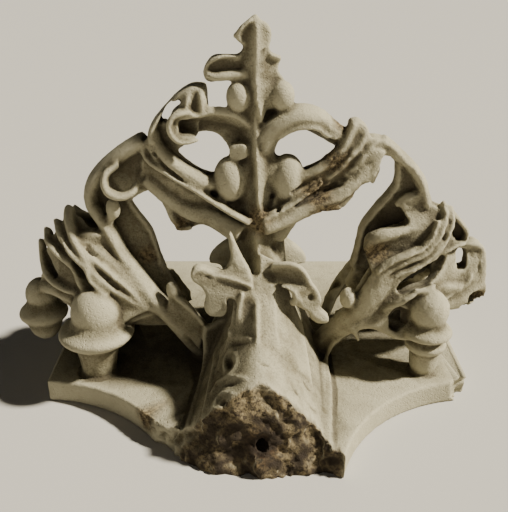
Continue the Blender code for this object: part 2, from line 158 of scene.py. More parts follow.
def web(mass, curves, thickness, along=18, back=0):
    """Sheet of stone stretched over neighbouring curves, set back from them towards the middle."""
    grid = [curve_through(curve, along) for curve in curves]
    for row in grid[1:-1]:
        for place in row:
            place.y -= math.copysign(min(back, abs(place.y)), place.y)
    rows = len(grid)
    fronts = []
    backs = []
    for i in range(rows):
        front_row = []
        back_row = []
        for j in range(along):
            down = grid[min(i + 1, rows - 1)][j] - grid[max(i - 1, 0)][j]
            out = grid[i][min(j + 1, along - 1)] - grid[i][max(j - 1, 0)]
            normal = down.cross(out)
            normal = normal.normalized() if normal.length > 1e-6 else Vector((0, 1, 0))
            front_row.append(mass.verts.new(at(grid[i][j] + normal * thickness / 2)))
            back_row.append(mass.verts.new(at(grid[i][j] - normal * thickness / 2)))
        fronts.append(front_row)
        backs.append(back_row)
    for i in range(rows - 1):
        for j in range(along - 1):
            mass.faces.new((fronts[i][j], fronts[i + 1][j], fronts[i + 1][j + 1], fronts[i][j + 1]))
            mass.faces.new((backs[i][j], backs[i][j + 1], backs[i + 1][j + 1], backs[i + 1][j]))
    rim = [(0, j) for j in range(along)] + [(i, along - 1) for i in range(1, rows)]
    rim += [(rows - 1, j) for j in range(along - 2, -1, -1)] + [(i, 0) for i in range(rows - 2, 0, -1)]
    for (i, j), (k, m) in zip(rim, rim[1:] + rim[:1]):
        mass.faces.new((fronts[i][j], fronts[k][m], backs[k][m], backs[i][j]))


def slab(mass, outline, thickness, count=64):
    """Plate of stone cut to a smooth outline that faces the viewer; it may curve in depth."""
    closed = curve_through(outline + outline[:1], count + 1)[:-1]
    half = Vector((0, thickness / 2, 0))
    front = [mass.verts.new(at(point - half)) for point in closed]
    back = [mass.verts.new(at(point + half)) for point in closed]
    for a, b, c in tessellate_polygon([[Vector((point.x, point.z, 0)) for point in closed]]):
        mass.faces.new((front[a], front[b], front[c]))
        mass.faces.new((back[c], back[b], back[a]))
    for i in range(count):
        j = (i + 1) % count
        mass.faces.new((front[i], back[i], back[j], front[j]))


def keeled(mass, stations):
    """Bar with a sharp arris in front: arris place, reach to left and right, side and back depth."""
    rings = []
    for x, front, z, left, right, side, back in stations:
        rings.append([at((x, front, z)), at((x + right, side, z)), at((x, back, z)), at((x - left, side, z))])
    loft(mass, rings)


def ball(mass, centre, radii):
    """Ball or egg of stone with radii along X, Y and Z."""
    place = Matrix.Translation(at(centre)) @ Matrix.Diagonal((*(r * UNIT for r in radii), 1))
    bmesh.ops.create_uvsphere(mass, u_segments=32, v_segments=20, radius=1, matrix=place)


def turned(mass, centre, profile, sides=40, tilt=(0, 0)):
    """Round body from its profile of (radius, height), leaning by tilt per unit of height."""
    x, y, z = centre
    rings = []
    for radius, height in profile:
        ring = []
        for corner in range(sides):
            angle = math.tau * corner / sides
            east = x + radius * math.cos(angle) + tilt[0] * height
            north = y + radius * math.sin(angle) + tilt[1] * height
            ring.append(at((east, north, z + height)))
        rings.append(ring)
    loft(mass, rings)


def mirrored(path, side, front=1):
    """Path swapped to one side of the trunk, and to the front or the back."""
    return [(side * x, front * y, z) for x, y, z in path]


# Plate


def arc_points(centre, start, end, count):
    """Points on an arc about a centre, from one point to another."""
    first = math.atan2(start[1] - centre[1], start[0] - centre[0])
    last = math.atan2(end[1] - centre[1], end[0] - centre[0])
    turn = (last - first + math.pi) % math.tau - math.pi
    radius_first = math.hypot(start[0] - centre[0], start[1] - centre[1])
    radius_last = math.hypot(end[0] - centre[0], end[1] - centre[1])
    points = []
    for number in range(count):
        share = number / (count - 1)
        angle = first + turn * share
        radius = radius_first + (radius_last - radius_first) * share
        points.append((centre[0] + radius * math.cos(angle), centre[1] + radius * math.sin(angle)))
    return points


def plate_outline():
    """Square with scooped corners: deep ones in front, shallow ones at the back."""
    front = (SCOOP_CENTRE, -SCOOP_CENTRE)
    scoop = arc_points(front, (HORN_HALF, -PLATE_HALF), (PLATE_HALF, -HORN_HALF), 33)
    middle = ((PLATE_HALF + BACK_HALF) / 2, (PLATE_HALF + BACK_CORNER) / 2)
    chord = math.hypot(PLATE_HALF - BACK_HALF, PLATE_HALF - BACK_CORNER)
    reach = (chord * chord / 4 - BACK_SCOOP_SAG**2) / (2 * BACK_SCOOP_SAG)
    out = ((PLATE_HALF - BACK_CORNER) / chord, (PLATE_HALF - BACK_HALF) / chord)
    centre = (middle[0] + out[0] * reach, middle[1] + out[1] * reach)
    back = arc_points(centre, (PLATE_HALF, BACK_CORNER), (BACK_HALF, PLATE_HALF), 13)
    half = scoop + back
    return half + [(-x, y) for x, y in reversed(half)]


def carve_plate(mass):
    """Plate with its upright scooped sides."""
    loft(mass, [[Vector((x, y, z)) for x, y in plate_outline()] for z in (0, PLATE_THICK)])


# Trunk and the root of the lost front leaf

CREST = ((-252, 50), (-195, 68), (-135, 92), (-85, 125), (-50, 165), (-34, 198), (0, 214))


def crest_height(y):
    """Height of the front arris at a depth."""
    for (near, low), (far, high) in zip(CREST, CREST[1:]):
        if y <= far:
            return low + (high - low) * (y - near) / (far - near)
    return CREST[-1][1]


def flank(side, y, share):
    """Point on the ridge's flank: share 0 is its arris and 1 its foot."""
    bulge = 1.05 + 0.35 * min(max((-50 - y) / 60, 0), 1) + 0.45 * min(max((-120 - y) / 80, 0), 1)
    forward = min(max((-60 - y) / 140, 0), 1)
    half = 88 - 8 * forward if side > 0 else 72 + 12 * forward
    return (side * half * share * (1 - 0.10 * (1 - share)), y, crest_height(y) * (1 - share**bulge))


def carve_trunk(mass):
    """Trunk that flares to the plate, and the keel-shaped ridge that runs forward from it."""
    rings = []
    for height, half, front, back in (
        (-SUNK, 84, 100, 84), (6, 78, 94, 78), (25, 66, 84, 68), (55, 54, 72, 55), (90, 44, 66, 46),
        (130, 37, 59, 40), (160, 34, 52, 34), (190, 42, 45, 30), (210, 40, 38, 28), (232, 26, 28, 26),
    ):
        ring = []
        for step in range(-16, 16):
            keel = 1 - abs(step / 16) ** 1.15
            ring.append(at((half * step / 16, -front * keel, height)))
        for corner in range(20):
            angle = math.pi * corner / 20
            ring.append(at((half * math.cos(angle), back * math.sin(angle), height)))
        rings.append(ring)
    loft(mass, rings)
    rings = []
    for step in range(43):
        y = -252 + step * 6
        ring = [at(flank(-1, y, 1)[:2] + (-SUNK,))]
        for corner in range(-16, 17):
            ring.append(at(flank(math.copysign(1, corner), y, abs(corner) / 16)))
        ring.append(at(flank(1, y, 1)[:2] + (-SUNK,)))
        rings.append(ring)
    loft(mass, rings)
    left_foot = [
        (-66, -62, 66), (-69, -61, 52), (-68, -62, 34), (-69, -66, 16), (-72, -92, 5), (-78, -150, 3),
        (-84, -204, 2), (-90, -252, 1),
    ]
    left_root = [
        (-44, -48, 70), (-44, -48, 54), (-46, -50, 36), (-50, -54, 18), (-62, -92, 4), (-68, -150, 2),
        (-74, -204, 0), (-78, -252, 0),
    ]
    rib(mass, left_foot, (6, 7, 6), (8, 8, 7), steps=30)
    web(mass, [left_foot, left_root], 8, along=30)
    rib(mass, [(94, -46, 22), (90, -54, 8), (90, -101, 3), (85, -156, 3), (80, -204, 2), (78, -252, 1)],
        (6, 7, 6), (7, 7, 6), steps=24)
    rib(mass, [(84, -60, 10), (82, -120, 6), (75, -200, 5)], (4, 5, 4), (5, 5, 5))


def carve_flank_relief(mass, hollows):
    """Low leaf relief on the ridge: crisp lobes in the left flank, worn ones on the right."""
    raised = (
        ([(-102, 0.57), (-97, 0.54), (-107, 0.44), (-117, 0.32), (-126, 0.21), (-133, 0.11)], 5),
        ([(-149, 0.35), (-159, 0.38), (-159, 0.45), (-147, 0.51), (-130, 0.54), (-120, 0.52),
          (-122, 0.45), (-134, 0.38), (-147, 0.35)], 4.5),
        ([(-165, 0.70), (-156, 0.64), (-159, 0.55), (-166, 0.43), (-175, 0.29), (-184, 0.15)], 5),
        ([(-205, 0.61), (-191, 0.63), (-182, 0.58), (-185, 0.49), (-194, 0.37), (-204, 0.29)], 5),
        ([(-80, 0.76), (-116, 0.75), (-154, 0.76), (-196, 0.78)], 5),
    )
    for lobe, wide in raised:
        rib(mass, [flank(-1, y, share) for y, share in lobe], (wide * 0.7, wide, wide * 0.7), (6, 8, 6),
            flat=(0.3, 0, 1))
    sunk = (
        ([(-152, 0.42), (-141, 0.45), (-129, 0.49)], 9),
        ([(-112, 0.46), (-122, 0.34), (-132, 0.21)], 5),
        ([(-170, 0.53), (-177, 0.40), (-186, 0.26)], 5),
        ([(-200, 0.53), (-195, 0.46)], 9),
        ([(-130, 0.62), (-133, 0.65)], 6),
        ([(-90, 0.66), (-110, 0.68), (-124, 0.70)], 4),
    )
    for hole, wide in sunk:
        rib(hollows, [flank(-1, y, share) for y, share in hole], (wide * 0.6, wide, wide * 0.6), (8, 11, 8),
            flat=(0.3, 0, 1))
    worn = (
        [(-112, 0.36), (-112, 0.50), (-120, 0.62)],
        [(-106, 0.70), (-98, 0.78), (-92, 0.86)],
        [(-170, 0.46), (-176, 0.53), (-184, 0.62)],
        [(-180, 0.73), (-177, 0.80), (-172, 0.86)],
        [(-142, 0.62), (-150, 0.72), (-150, 0.82)],
    )
    for groove in worn:
        rib(hollows, [flank(1, y, share) for y, share in groove], (2, 6, 2), (4, 7, 4), flat=(0.3, 0, 1))
    rib(hollows, [(-6, -160, 82), (4, -166, 80), (16, -167, 74)], (3, 5, 3), (10, 12, 8), flat=(0, -0.5, 1),
        sides=8)


# Stem


def carve_stem(mass, hollows):
    """Stem with a sharp arris, and two collars of bulbs, each under a pointed sepal."""
    keeled(mass, [
        (-1, -44, 188, 36, 34, -8, 36), (-1, -36, 214, 29, 26, -8, 32), (-2, -30, 250, 22, 20, -6, 27),
        (-2, -26, 290, 18, 17, -5, 24), (-3, -23, 330, 15, 14, -4, 20), (-3, -20, 366, 14, 13, -4, 18),
        (-3, -16, 392, 9, 9, -3, 10),
    ])
    keeled(mass, [
        (3, -38, 207, 2, 2, -30, -10), (0, -40, 222, 5, 15, -24, 0), (-1, -38, 246, 8, 20, -20, 0),
        (-2, -33, 276, 9, 22, -16, 0), (-3, -27, 298, 8, 12, -14, 0), (-4, -22, 308, 3, 3, -14, 0),
    ])
    keeled(mass, [
        (4, -24, 318, 1, 1, -18, -6), (1, -28, 330, 3, 9, -15, 0), (-2, -27, 344, 6, 16, -13, 0),
        (-3, -24, 362, 8, 18, -12, 0), (-3, -19, 374, 6, 12, -10, 0),
    ])
    for front, sink in ((-1, 0), (1, 8)):
        ball(mass, (-34, front * 13, 246 - sink), (21, 23, 29))
        ball(mass, (36, front * 13, 246 - sink), (21, 24, 32))
        ball(mass, (-23, front * 9, 346 - sink / 2), (15, 17, 18))
        ball(mass, (28, front * 9, 347 - sink / 2), (15, 17, 18))
        ball(mass, (-18, front * 7, 250 - sink), (14, 17, 22))
        ball(mass, (19, front * 9, 252 - sink), (17, 20, 24))
        ball(mass, (12, front * 6, 346 - sink / 2), (15, 14, 16))
    ball(mass, (12, 8, 328), (16, 10, 14))
    slab(mass, [(-34, -14, 291), (-15, -16, 292), (-14, -16, 276), (-33, -14, 275)], 18, count=24)
    rib(hollows, [(20, -42, 238), (23, -42, 226), (25, -36, 212)], (2, 6, 9), (12, 16, 16))
    rib(hollows, [(-19, -30, 262), (-22, -30, 240), (-27, -30, 222)], (2, 4, 3), (10, 12, 10))
    rib(hollows, [(18, -24, 345), (20, -26, 334), (24, -22, 326)], (2, 6, 6), (8, 10, 10))


def carve_top_leaf(mass, hollows):
    """Folded leaf at the top: a point, a big curled lobe on the left and a broken right edge."""
    outline = [
        (-3, 0, 438), (2, 0, 431), (9, 0, 428), (14, 0, 421), (15, 0, 411), (12, 0, 402), (14, 0, 396),
        (27, 0, 390), (24, 0, 383), (23, 0, 374), (30, 0, 364), (22, 0, 356), (0, 0, 352), (-20, 0, 356),
        (-32, 0, 366), (-43, 0, 364), (-55, 0, 362), (-62, 0, 365), (-64, 0, 375), (-58, 0, 387),
        (-50, 0, 393), (-38, 0, 393), (-25, 0, 393), (-19, 0, 397), (-17, 0, 404), (-22, 0, 410),
        (-30, 0, 413), (-23, 0, 420), (-15, 0, 429),
    ]
    slab(mass, outline, 12, count=110)
    keeled(mass, [
        (-3, -20, 356, 20, 26, -6, 8), (-2, -18, 378, 20, 24, -6, 8), (-2, -17, 394, 14, 15, -5, 8),
        (-2, -15, 408, 14, 15, -4, 8), (-2, -11, 424, 10, 11, -3, 6), (-3, -3, 437, 1, 1, -1, 3),
    ])
    rib(mass, [(-16, -8, 372), (-32, -10, 371), (-48, -10, 369), (-58, -6, 371)], (12, 11, 9), (14, 18, 18))
    rib(mass, [(-24, -5, 392), (-44, -6, 391), (-57, -4, 384), (-61, -3, 374)], (4, 5, 6), (14, 18, 16))
    rib(mass, [(-18, -4, 406), (-24, -5, 413), (-20, -6, 422), (-8, -6, 432)], (4, 5, 4), (12, 14, 10))
    rib(mass, [(13, -6, 394), (20, -6, 391), (26, -4, 390)], (5, 5, 3), (12, 12, 8))
    rib(hollows, [(-14, -18, 384), (-34, -16, 383), (-52, -13, 381)], (7, 9, 6), (14, 16, 14))
    rib(hollows, [(-13, -14, 400), (-15, -13, 410), (-10, -14, 422)], (4, 7, 4), (10, 12, 8))
    rib(hollows, [(11, -16, 404), (16, -14, 396), (24, -12, 384)], (3, 4, 3), (9, 10, 8))


# Small front leaf, draped over the arris


def carve_front_leaf(mass, hollows):
    """Small leaf on the arris: its left half whole, its right half worn through."""
    left = [
        (-36, -54, 196), (-34, -57, 186), (-32, -60, 172), (-39, -67, 151), (-56, -70, 153),
        (-68, -74, 158), (-76, -75, 158), (-81, -76, 150), (-79, -77, 145), (-73, -78, 137),
        (-67, -80, 131), (-63, -82, 122), (-66, -84, 108), (-59, -86, 98), (-43, -86, 97),
        (-37, -86, 106), (-37, -85, 120), (-29, -85, 121), (-25, -88, 112), (-25, -94, 101),
        (-30, -99, 90), (-38, -103, 82), (-22, -108, 76), (-12, -106, 80), (-8, -96, 104), (-5, -88, 124),
        (-6, -80, 134), (-9, -70, 147), (-17, -63, 160), (-25, -59, 175), (-31, -57, 190),
    ]
    slab(mass, left, 14, count=110)
    rib(mass, [(-6, -88, 136), (-24, -84, 142), (-48, -80, 147), (-72, -78, 149)], (4, 5, 4), (8, 9, 8))
    rib(mass, [(-75, -80, 139), (-79, -80, 149), (-72, -79, 155), (-58, -76, 152)], (5, 6, 5), (10, 10, 8))
    rib(mass, [(-19, -95, 132), (-23, -100, 112), (-24, -106, 90)], (6, 7, 6), (8, 8, 8))
    rib(mass, [(-35, -58, 190), (-31, -64, 170), (-22, -72, 152)], (4, 5, 4), (8, 9, 8))
    arris = [(-1, -74, 134), (-1, -90, 117), (-1, -106, 106), (-1, -126, 92)]
    stalk = [(-15, -76, 129), (-16, -91, 110), (-17, -104, 95), (-20, -122, 74)]
    stalk_edge = [(-28, -77, 121), (-30, -89, 101), (-33, -98, 82), (-42, -110, 46)]
    web(mass, [arris, stalk, stalk_edge], 12)
    rib(mass, [(-1, -70, 141), (-1, -88, 123), (-1, -106, 111), (-1, -124, 99), (-1, -142, 86)], (6, 8, 6),
        (10, 10, 8))
    rib(hollows, [(-43, -94, 118), (-42, -96, 110), (-45, -96, 104)], (3, 6, 4), (10, 12, 10))
    rib(hollows, [(-70, -84, 148), (-60, -83, 146), (-50, -82, 144)], (3, 5, 3), (10, 10, 8))
    right = [
        (-6, -54, 144), (10, -60, 150), (27, -66, 155), (43, -70, 157), (53, -73, 150), (60, -76, 139),
        (70, -78, 124), (76, -78, 113), (74, -80, 105), (86, -80, 93), (86, -80, 85), (74, -82, 85),
        (64, -82, 92), (60, -82, 104), (49, -82, 107), (44, -82, 115), (40, -82, 127), (33, -82, 133),
        (18, -76, 134), (4, -70, 130), (-6, -70, 128),
    ]
    slab(mass, right, 16, count=80)
    rib(mass, [(16, -68, 156), (30, -72, 159), (44, -75, 159), (55, -77, 151), (62, -81, 139),
        (72, -82, 124), (75, -83, 112)],
        (4, 6, 6), (10, 12, 10))
    shoulder = [
        [(1, -50, 162), (1, -70, 139), (1, -88, 119), (1, -110, 102), (1, -142, 80)],
        [(16, -52, 154), (17, -70, 133), (17, -86, 113), (18, -108, 93), (22, -140, 68)],
        [(30, -52, 146), (30, -68, 120), (31, -80, 98), (37, -102, 74), (44, -134, 48)],
        [(42, -58, 84), (49, -68, 75), (54, -80, 65), (58, -100, 46), (62, -130, 26)],
    ]
    web(mass, shoulder, 12)
    rib(hollows, [(48, -40, 128), (50, -42, 110), (58, -44, 94), (72, -42, 84)], (14, 22, 18), (30, 40, 30))
    rib(mass, [(34, -82, 134), (43, -86, 130), (50, -87, 120), (54, -86, 110), (63, -86, 103)], (4, 6, 6),
        (10, 12, 10))
    rib(mass, [(36, -84, 134), (44, -88, 128), (45, -89, 119), (42, -88, 112), (38, -87, 118)], (5, 6, 4),
        (10, 10, 8))
    rib(mass, [(66, -86, 100), (74, -86, 92), (85, -84, 90)], (9, 8, 6), (12, 12, 10))
    rib(hollows, [(28, -80, 144), (38, -83, 145), (50, -83, 143)], (2, 5, 3), (12, 14, 12))
    ball(hollows, (64, -90, 121), (5, 9, 6))


# Arms and arches


def carve_left_arm(mass, hollows):
    """Left lower arm: two smooth ridges with a groove between, over a ragged lower sheet."""
    upper = [(30, 4, 250), (60, 4, 250), (84, 4, 262), (102, 2, 280), (130, 2, 300)]
    middle = [(30, -6, 210), (60, -8, 220), (86, -8, 230), (114, -6, 248), (140, -2, 270)]
    lower = [(30, 4, 166), (50, 4, 174), (70, 4, 184), (86, 4, 180), (98, 2, 178), (112, 2, 200),
        (122, 4, 226), (148, 4, 236)]
    web(mass, [mirrored(edge, -1) for edge in (upper, middle, lower)], 18)
    ridge_a = [(20, 0, 248), (44, -8, 242), (62, -17, 243), (88, -18, 257), (108, -16, 272),
        (122, -10, 290), (125, -7, 304)]
    rib(mass, mirrored(ridge_a, -1), (18, 20, 15), (24, 26, 26), keel=0.9)
    ridge_b = [(8, -40, 199), (38, -31, 213), (76, -24, 237), (112, -19, 258), (134, -14, 273),
        (140, -8, 290)]
    rib(mass, mirrored(ridge_b, -1), (8, 9, 8), (22, 24, 24), keel=0.8)
    ridge_c = [(66, -22, 240), (96, -20, 256), (122, -14, 276), (134, -8, 294)]
    rib(mass, mirrored(ridge_c, -1), (5, 8, 7), (20, 22, 22))
    low = [(20, -30, 180), (54, -16, 196), (86, -10, 204), (114, -6, 222), (140, -2, 244)]
    rib(mass, mirrored(low, -1), (30, 24, 18), (34, 26, 26))
    lip = [(84, -8, 182), (98, -10, 182), (108, -8, 196), (114, -6, 212)]
    rib(mass, mirrored(lip, -1), (8, 11, 8), (18, 18, 16))
    groove = [(70, -35, 239), (90, -32, 249), (112, -28, 266), (128, -22, 285)]
    rib(hollows, mirrored(groove, -1), (2, 6, 4), (12, 20, 16))


def carve_right_arm(mass, hollows):
    """Right lower arm: one worn mass with low ridges, crumbling along its underside."""
    body = [
        (34, -12, 246), (57, -10, 257), (70, -10, 263), (86, -8, 274), (101, -6, 290), (107, -4, 306),
        (111, -2, 316), (119, 0, 318), (128, 0, 312), (133, 0, 304), (135, 0, 297), (143, 0, 297),
        (154, 0, 293), (168, 0, 284), (174, 0, 272), (167, 0, 268), (158, 0, 276), (148, 0, 268),
        (149, 0, 256), (145, 0, 246), (143, 0, 238), (135, 0, 244), (127, -2, 240), (118, -4, 228),
        (114, -4, 219), (105, -6, 210), (91, -8, 206), (75, -8, 206), (65, -8, 204), (54, -10, 200),
        (43, -12, 184), (28, -14, 166), (14, -14, 190), (20, -14, 226),
    ]
    slab(mass, body, 28, count=120)
    rib(mass, [(40, -22, 250), (57, -20, 253), (72, -20, 261), (90, -18, 276), (103, -16, 290),
        (114, -8, 313)],
        (12, 12, 12), (18, 18, 22), keel=0.9)
    rib(mass, [(84, -20, 250), (96, -20, 260), (108, -18, 275), (121, -14, 288), (129, -8, 304)], (6, 9, 9),
        (14, 18, 18))
    rib(mass, [(106, -20, 254), (118, -19, 264), (130, -16, 280), (140, -10, 292)], (6, 9, 8), (12, 16, 16))
    rib(mass, [(3, -44, 204), (16, -40, 210), (31, -37, 217), (52, -33, 230), (70, -29, 241), (78, -26, 248)],
        (7, 7, 5), (20, 20, 16), keel=0.85)
    rib(mass, [(6, -44, 194), (34, -36, 203), (57, -31, 214), (76, -27, 222), (92, -25, 227), (106, -22, 236),
               (118, -19, 246), (132, -14, 262), (142, -10, 278)], (20, 22, 20), (26, 24, 20), steps=30)
    slab(mass, [(112, -8, 262), (128, -8, 282), (150, -6, 284), (146, -8, 262), (138, -8, 246),
        (122, -8, 244)], 30, count=40)
    rib(hollows, [(38, -38, 234), (50, -34, 240), (63, -32, 246), (78, -30, 254), (88, -28, 258)],
        (4, 9, 4), (20, 24, 16))
    rib(hollows, [(34, -41, 213), (50, -36, 222), (70, -30, 232), (84, -27, 237), (98, -25, 243)],
        (2, 9, 6), (12, 26, 20))
    ball(hollows, (78, -30, 238), (9, 9, 6))
    ball(hollows, (96, -27, 245), (7, 7, 5))
    ball(hollows, (111, -25, 257), (3.5, 6, 3.5))
    rib(hollows, [(88, -27, 264), (104, -24, 276), (114, -20, 292)], (2, 4, 3), (10, 12, 8))
    rib(hollows, [(108, -26, 268), (122, -22, 280), (132, -16, 298)], (2, 3.5, 3), (10, 12, 10))
    rib(hollows, [(151, -24, 271), (156, 0, 273), (162, 20, 271)], (8, 10, 8), (8, 9, 8))
    rib(hollows, [(112, -20, 320), (109, -6, 322), (108, 14, 320)], (7, 8, 6), (8, 9, 8))


def carve_arches(mass, hollows):
    """Ribbon on each side that leaves the stem and turns over towards the arm."""
    left = [(2, 4, 290), (18, 10, 301), (34, 13, 306), (52, 14, 309), (72, 14, 310)]
    rib(mass, mirrored(left, -1), (34, 26, 18), (34, 20, 18))
    crest = [(-4, -12, 310), (-18, -16, 324), (-34, -18, 331), (-48, -20, 333), (-64, -22, 333),
        (-84, -24, 332)]
    middle = [(-8, 0, 292), (-20, 4, 304), (-34, 6, 311), (-50, 7, 315), (-66, 6, 317), (-84, 4, 318)]
    hem = [(-31, 6, 268), (-36, 9, 282), (-45, 11, 294), (-55, 13, 300), (-67, 13, 301), (-84, 12, 298)]
    web(mass, [crest, middle, hem], 10, along=30)
    right = [
        (4, -4, 280), (12, -6, 301), (32, -6, 317), (52, -4, 323), (70, -2, 320), (86, 0, 309),
        (100, 0, 299), (110, 0, 292),
    ]
    rib(mass, right, (32, 28, 14), (44, 50, 34), steps=28)
    behind = [(40, 14, 314), (58, 14, 309), (74, 14, 302), (90, 12, 293), (106, 10, 286)]
    rib(mass, behind, (14, 16, 14), (24, 26, 24))
    rib(mass, [(26, -20, 300), (38, -22, 309), (54, -22, 313), (70, -21, 311), (80, -18, 303),
        (94, -14, 298)],
        (5, 6, 5), (14, 14, 12))
    rib(hollows, [(81, -26, 334), (82, -28, 324), (80, -28, 314)], (4, 5, 2), (12, 14, 10))
    rib(hollows, [(84, -28, 316), (94, -26, 311), (106, -22, 303)], (4, 9, 6), (24, 26, 20))


def carve_left_scroll(mass, hollows):
    """Hollow scroll at the end of the left arch: a thin outer strip, a slit and a curled rim."""
    strip = [
        (62, 2, 355), (76, 2, 356), (89, 2, 350), (101, 2, 340), (112, 2, 328), (122, 0, 315),
        (127, -2, 303), (126, -4, 290),
    ]
    rib(mass, mirrored(strip, -1), (8, 6, 12), (40, 42, 46), steps=30)
    curl = [
        (-104, -12, 314), (-104, -12, 324), (-99, -12, 331), (-91, -10, 335), (-78, -8, 332),
        (-72, -8, 328), (-72, -8, 314), (-72, -8, 302), (-76, -12, 300), (-84, -12, 298), (-94, -12, 299),
        (-101, -12, 304),
    ]
    slab(mass, curl, 42, count=60)
    lobe = [
        (-90, -4, 342), (-83, -4, 350), (-75, -2, 357), (-66, 0, 358), (-61, 0, 354), (-60, -4, 338),
        (-60, -8, 326), (-72, -12, 324), (-82, -14, 328), (-92, -10, 334),
    ]
    slab(mass, lobe, 30, count=50)
    rib(mass, mirrored([(66, -16, 330), (66, -14, 342), (67, -8, 354)], -1), (9, 10, 8), (20, 24, 18))
    rib(mass, mirrored([(84, -18, 331), (83, -16, 340), (80, -10, 350)], -1), (8, 10, 8), (20, 22, 16))
    rib(hollows, mirrored([(75, -28, 330), (74, -26, 340), (74, -20, 352)], -1), (3, 4, 2), (10, 12, 8))
    rib(hollows, [(-93, -34, 314), (-84, -34, 314), (-72, -34, 313), (-58, -32, 311), (-46, -30, 309)],
        (18, 25, 20), (58, 58, 40), steps=24, sides=20)
    rim = [
        (-70, -28, 300), (-76, -32, 299), (-84, -34, 298), (-94, -35, 300), (-101, -35, 308),
        (-103, -35, 318), (-99, -34, 327), (-90, -31, 331), (-80, -26, 332),
    ]
    rib(mass, rim, (4, 8, 7), (8, 16, 14), steps=30)
    sheet = [(-128, 6, 314), (-114, 6, 316), (-104, 6, 308), (-98, 6, 298), (-86, 6, 290), (-100, 6, 280),
        (-120, 6, 282)]
    slab(mass, sheet, 18, count=40)
    spread = [[(136, 2, 296), (160, 2, 276), (184, 0, 254)], [(122, 8, 232), (146, 8, 224), (164, 8, 212)]]
    web(mass, [mirrored(edge, -1) for edge in spread], 18)
    for depth in (-30, -6, 18):
        slit = [(96, depth, 342), (104, depth, 336), (112, depth, 324), (118, depth, 313)]
        rib(hollows, mirrored(slit, -1), (3, 8, 4), (34, 34, 34))


# Wings

LEFT_FAN = {
    "margin": [(98, -38, 58), (112, -50, 82), (128, -54, 84), (144, -58, 84), (162, -61, 76),
        (178, -62, 62), (196, -60, 54)],
    "tip": [(98, -36, 62), (128, -54, 88), (156, -58, 92), (200, -60, 96), (240, -38, 100), (286, -2, 96)],
    "outer": [(94, -34, 50), (140, -58, 86), (206, -58, 104), (246, -40, 118), (270, -16, 146)],
    "lobe": [(95, -34, 54), (144, -58, 90), (208, -56, 116), (240, -42, 146), (258, -24, 168)],
    "crest one": [(96, -34, 56), (140, -56, 94), (190, -54, 128), (220, -44, 160), (238, -18, 198)],
    "crest two": [(98, -36, 60), (130, -50, 88), (168, -48, 128), (204, -34, 166), (228, -12, 190)],
    "scoop": [(100, -34, 62), (130, -42, 90), (160, -36, 120), (184, -26, 150), (212, -16, 172)],
    "spine": [(104, -32, 64), (130, -38, 94), (150, -30, 118), (172, -20, 150), (188, -10, 178)],
}
RIGHT_FAN = {
    "margin": [(92, -38, 15), (104, -52, 42), (124, -59, 60), (144, -62, 67), (160, -63, 62),
        (176, -66, 56), (196, -70, 58)],
    "low": [(94, -34, 30), (116, -52, 68), (150, -60, 84), (190, -60, 88), (226, -52, 86)],
    "tip": [(96, -34, 40), (120, -52, 80), (160, -58, 100), (212, -54, 106), (262, -26, 100)],
    "outer": [(98, -34, 50), (124, -52, 88), (166, -56, 114), (214, -46, 128), (256, -16, 146)],
    "crest": [(100, -34, 56), (132, -54, 98), (168, -52, 128), (206, -42, 152), (236, -14, 192)],
    "inner": [(102, -34, 60), (130, -46, 100), (156, -42, 132), (184, -34, 160), (216, -16, 196)],
    "spine": [(104, -32, 64), (124, -38, 94), (136, -32, 120), (158, -24, 152), (186, -10, 190)],
}


def carve_blades(mass, fan, side):
    """Front half-blade over its curves, and a plainer copy behind."""
    for front in (1, -1):
        web(mass, [mirrored(curve, side, front) for curve in fan.values()], 15, back=4)


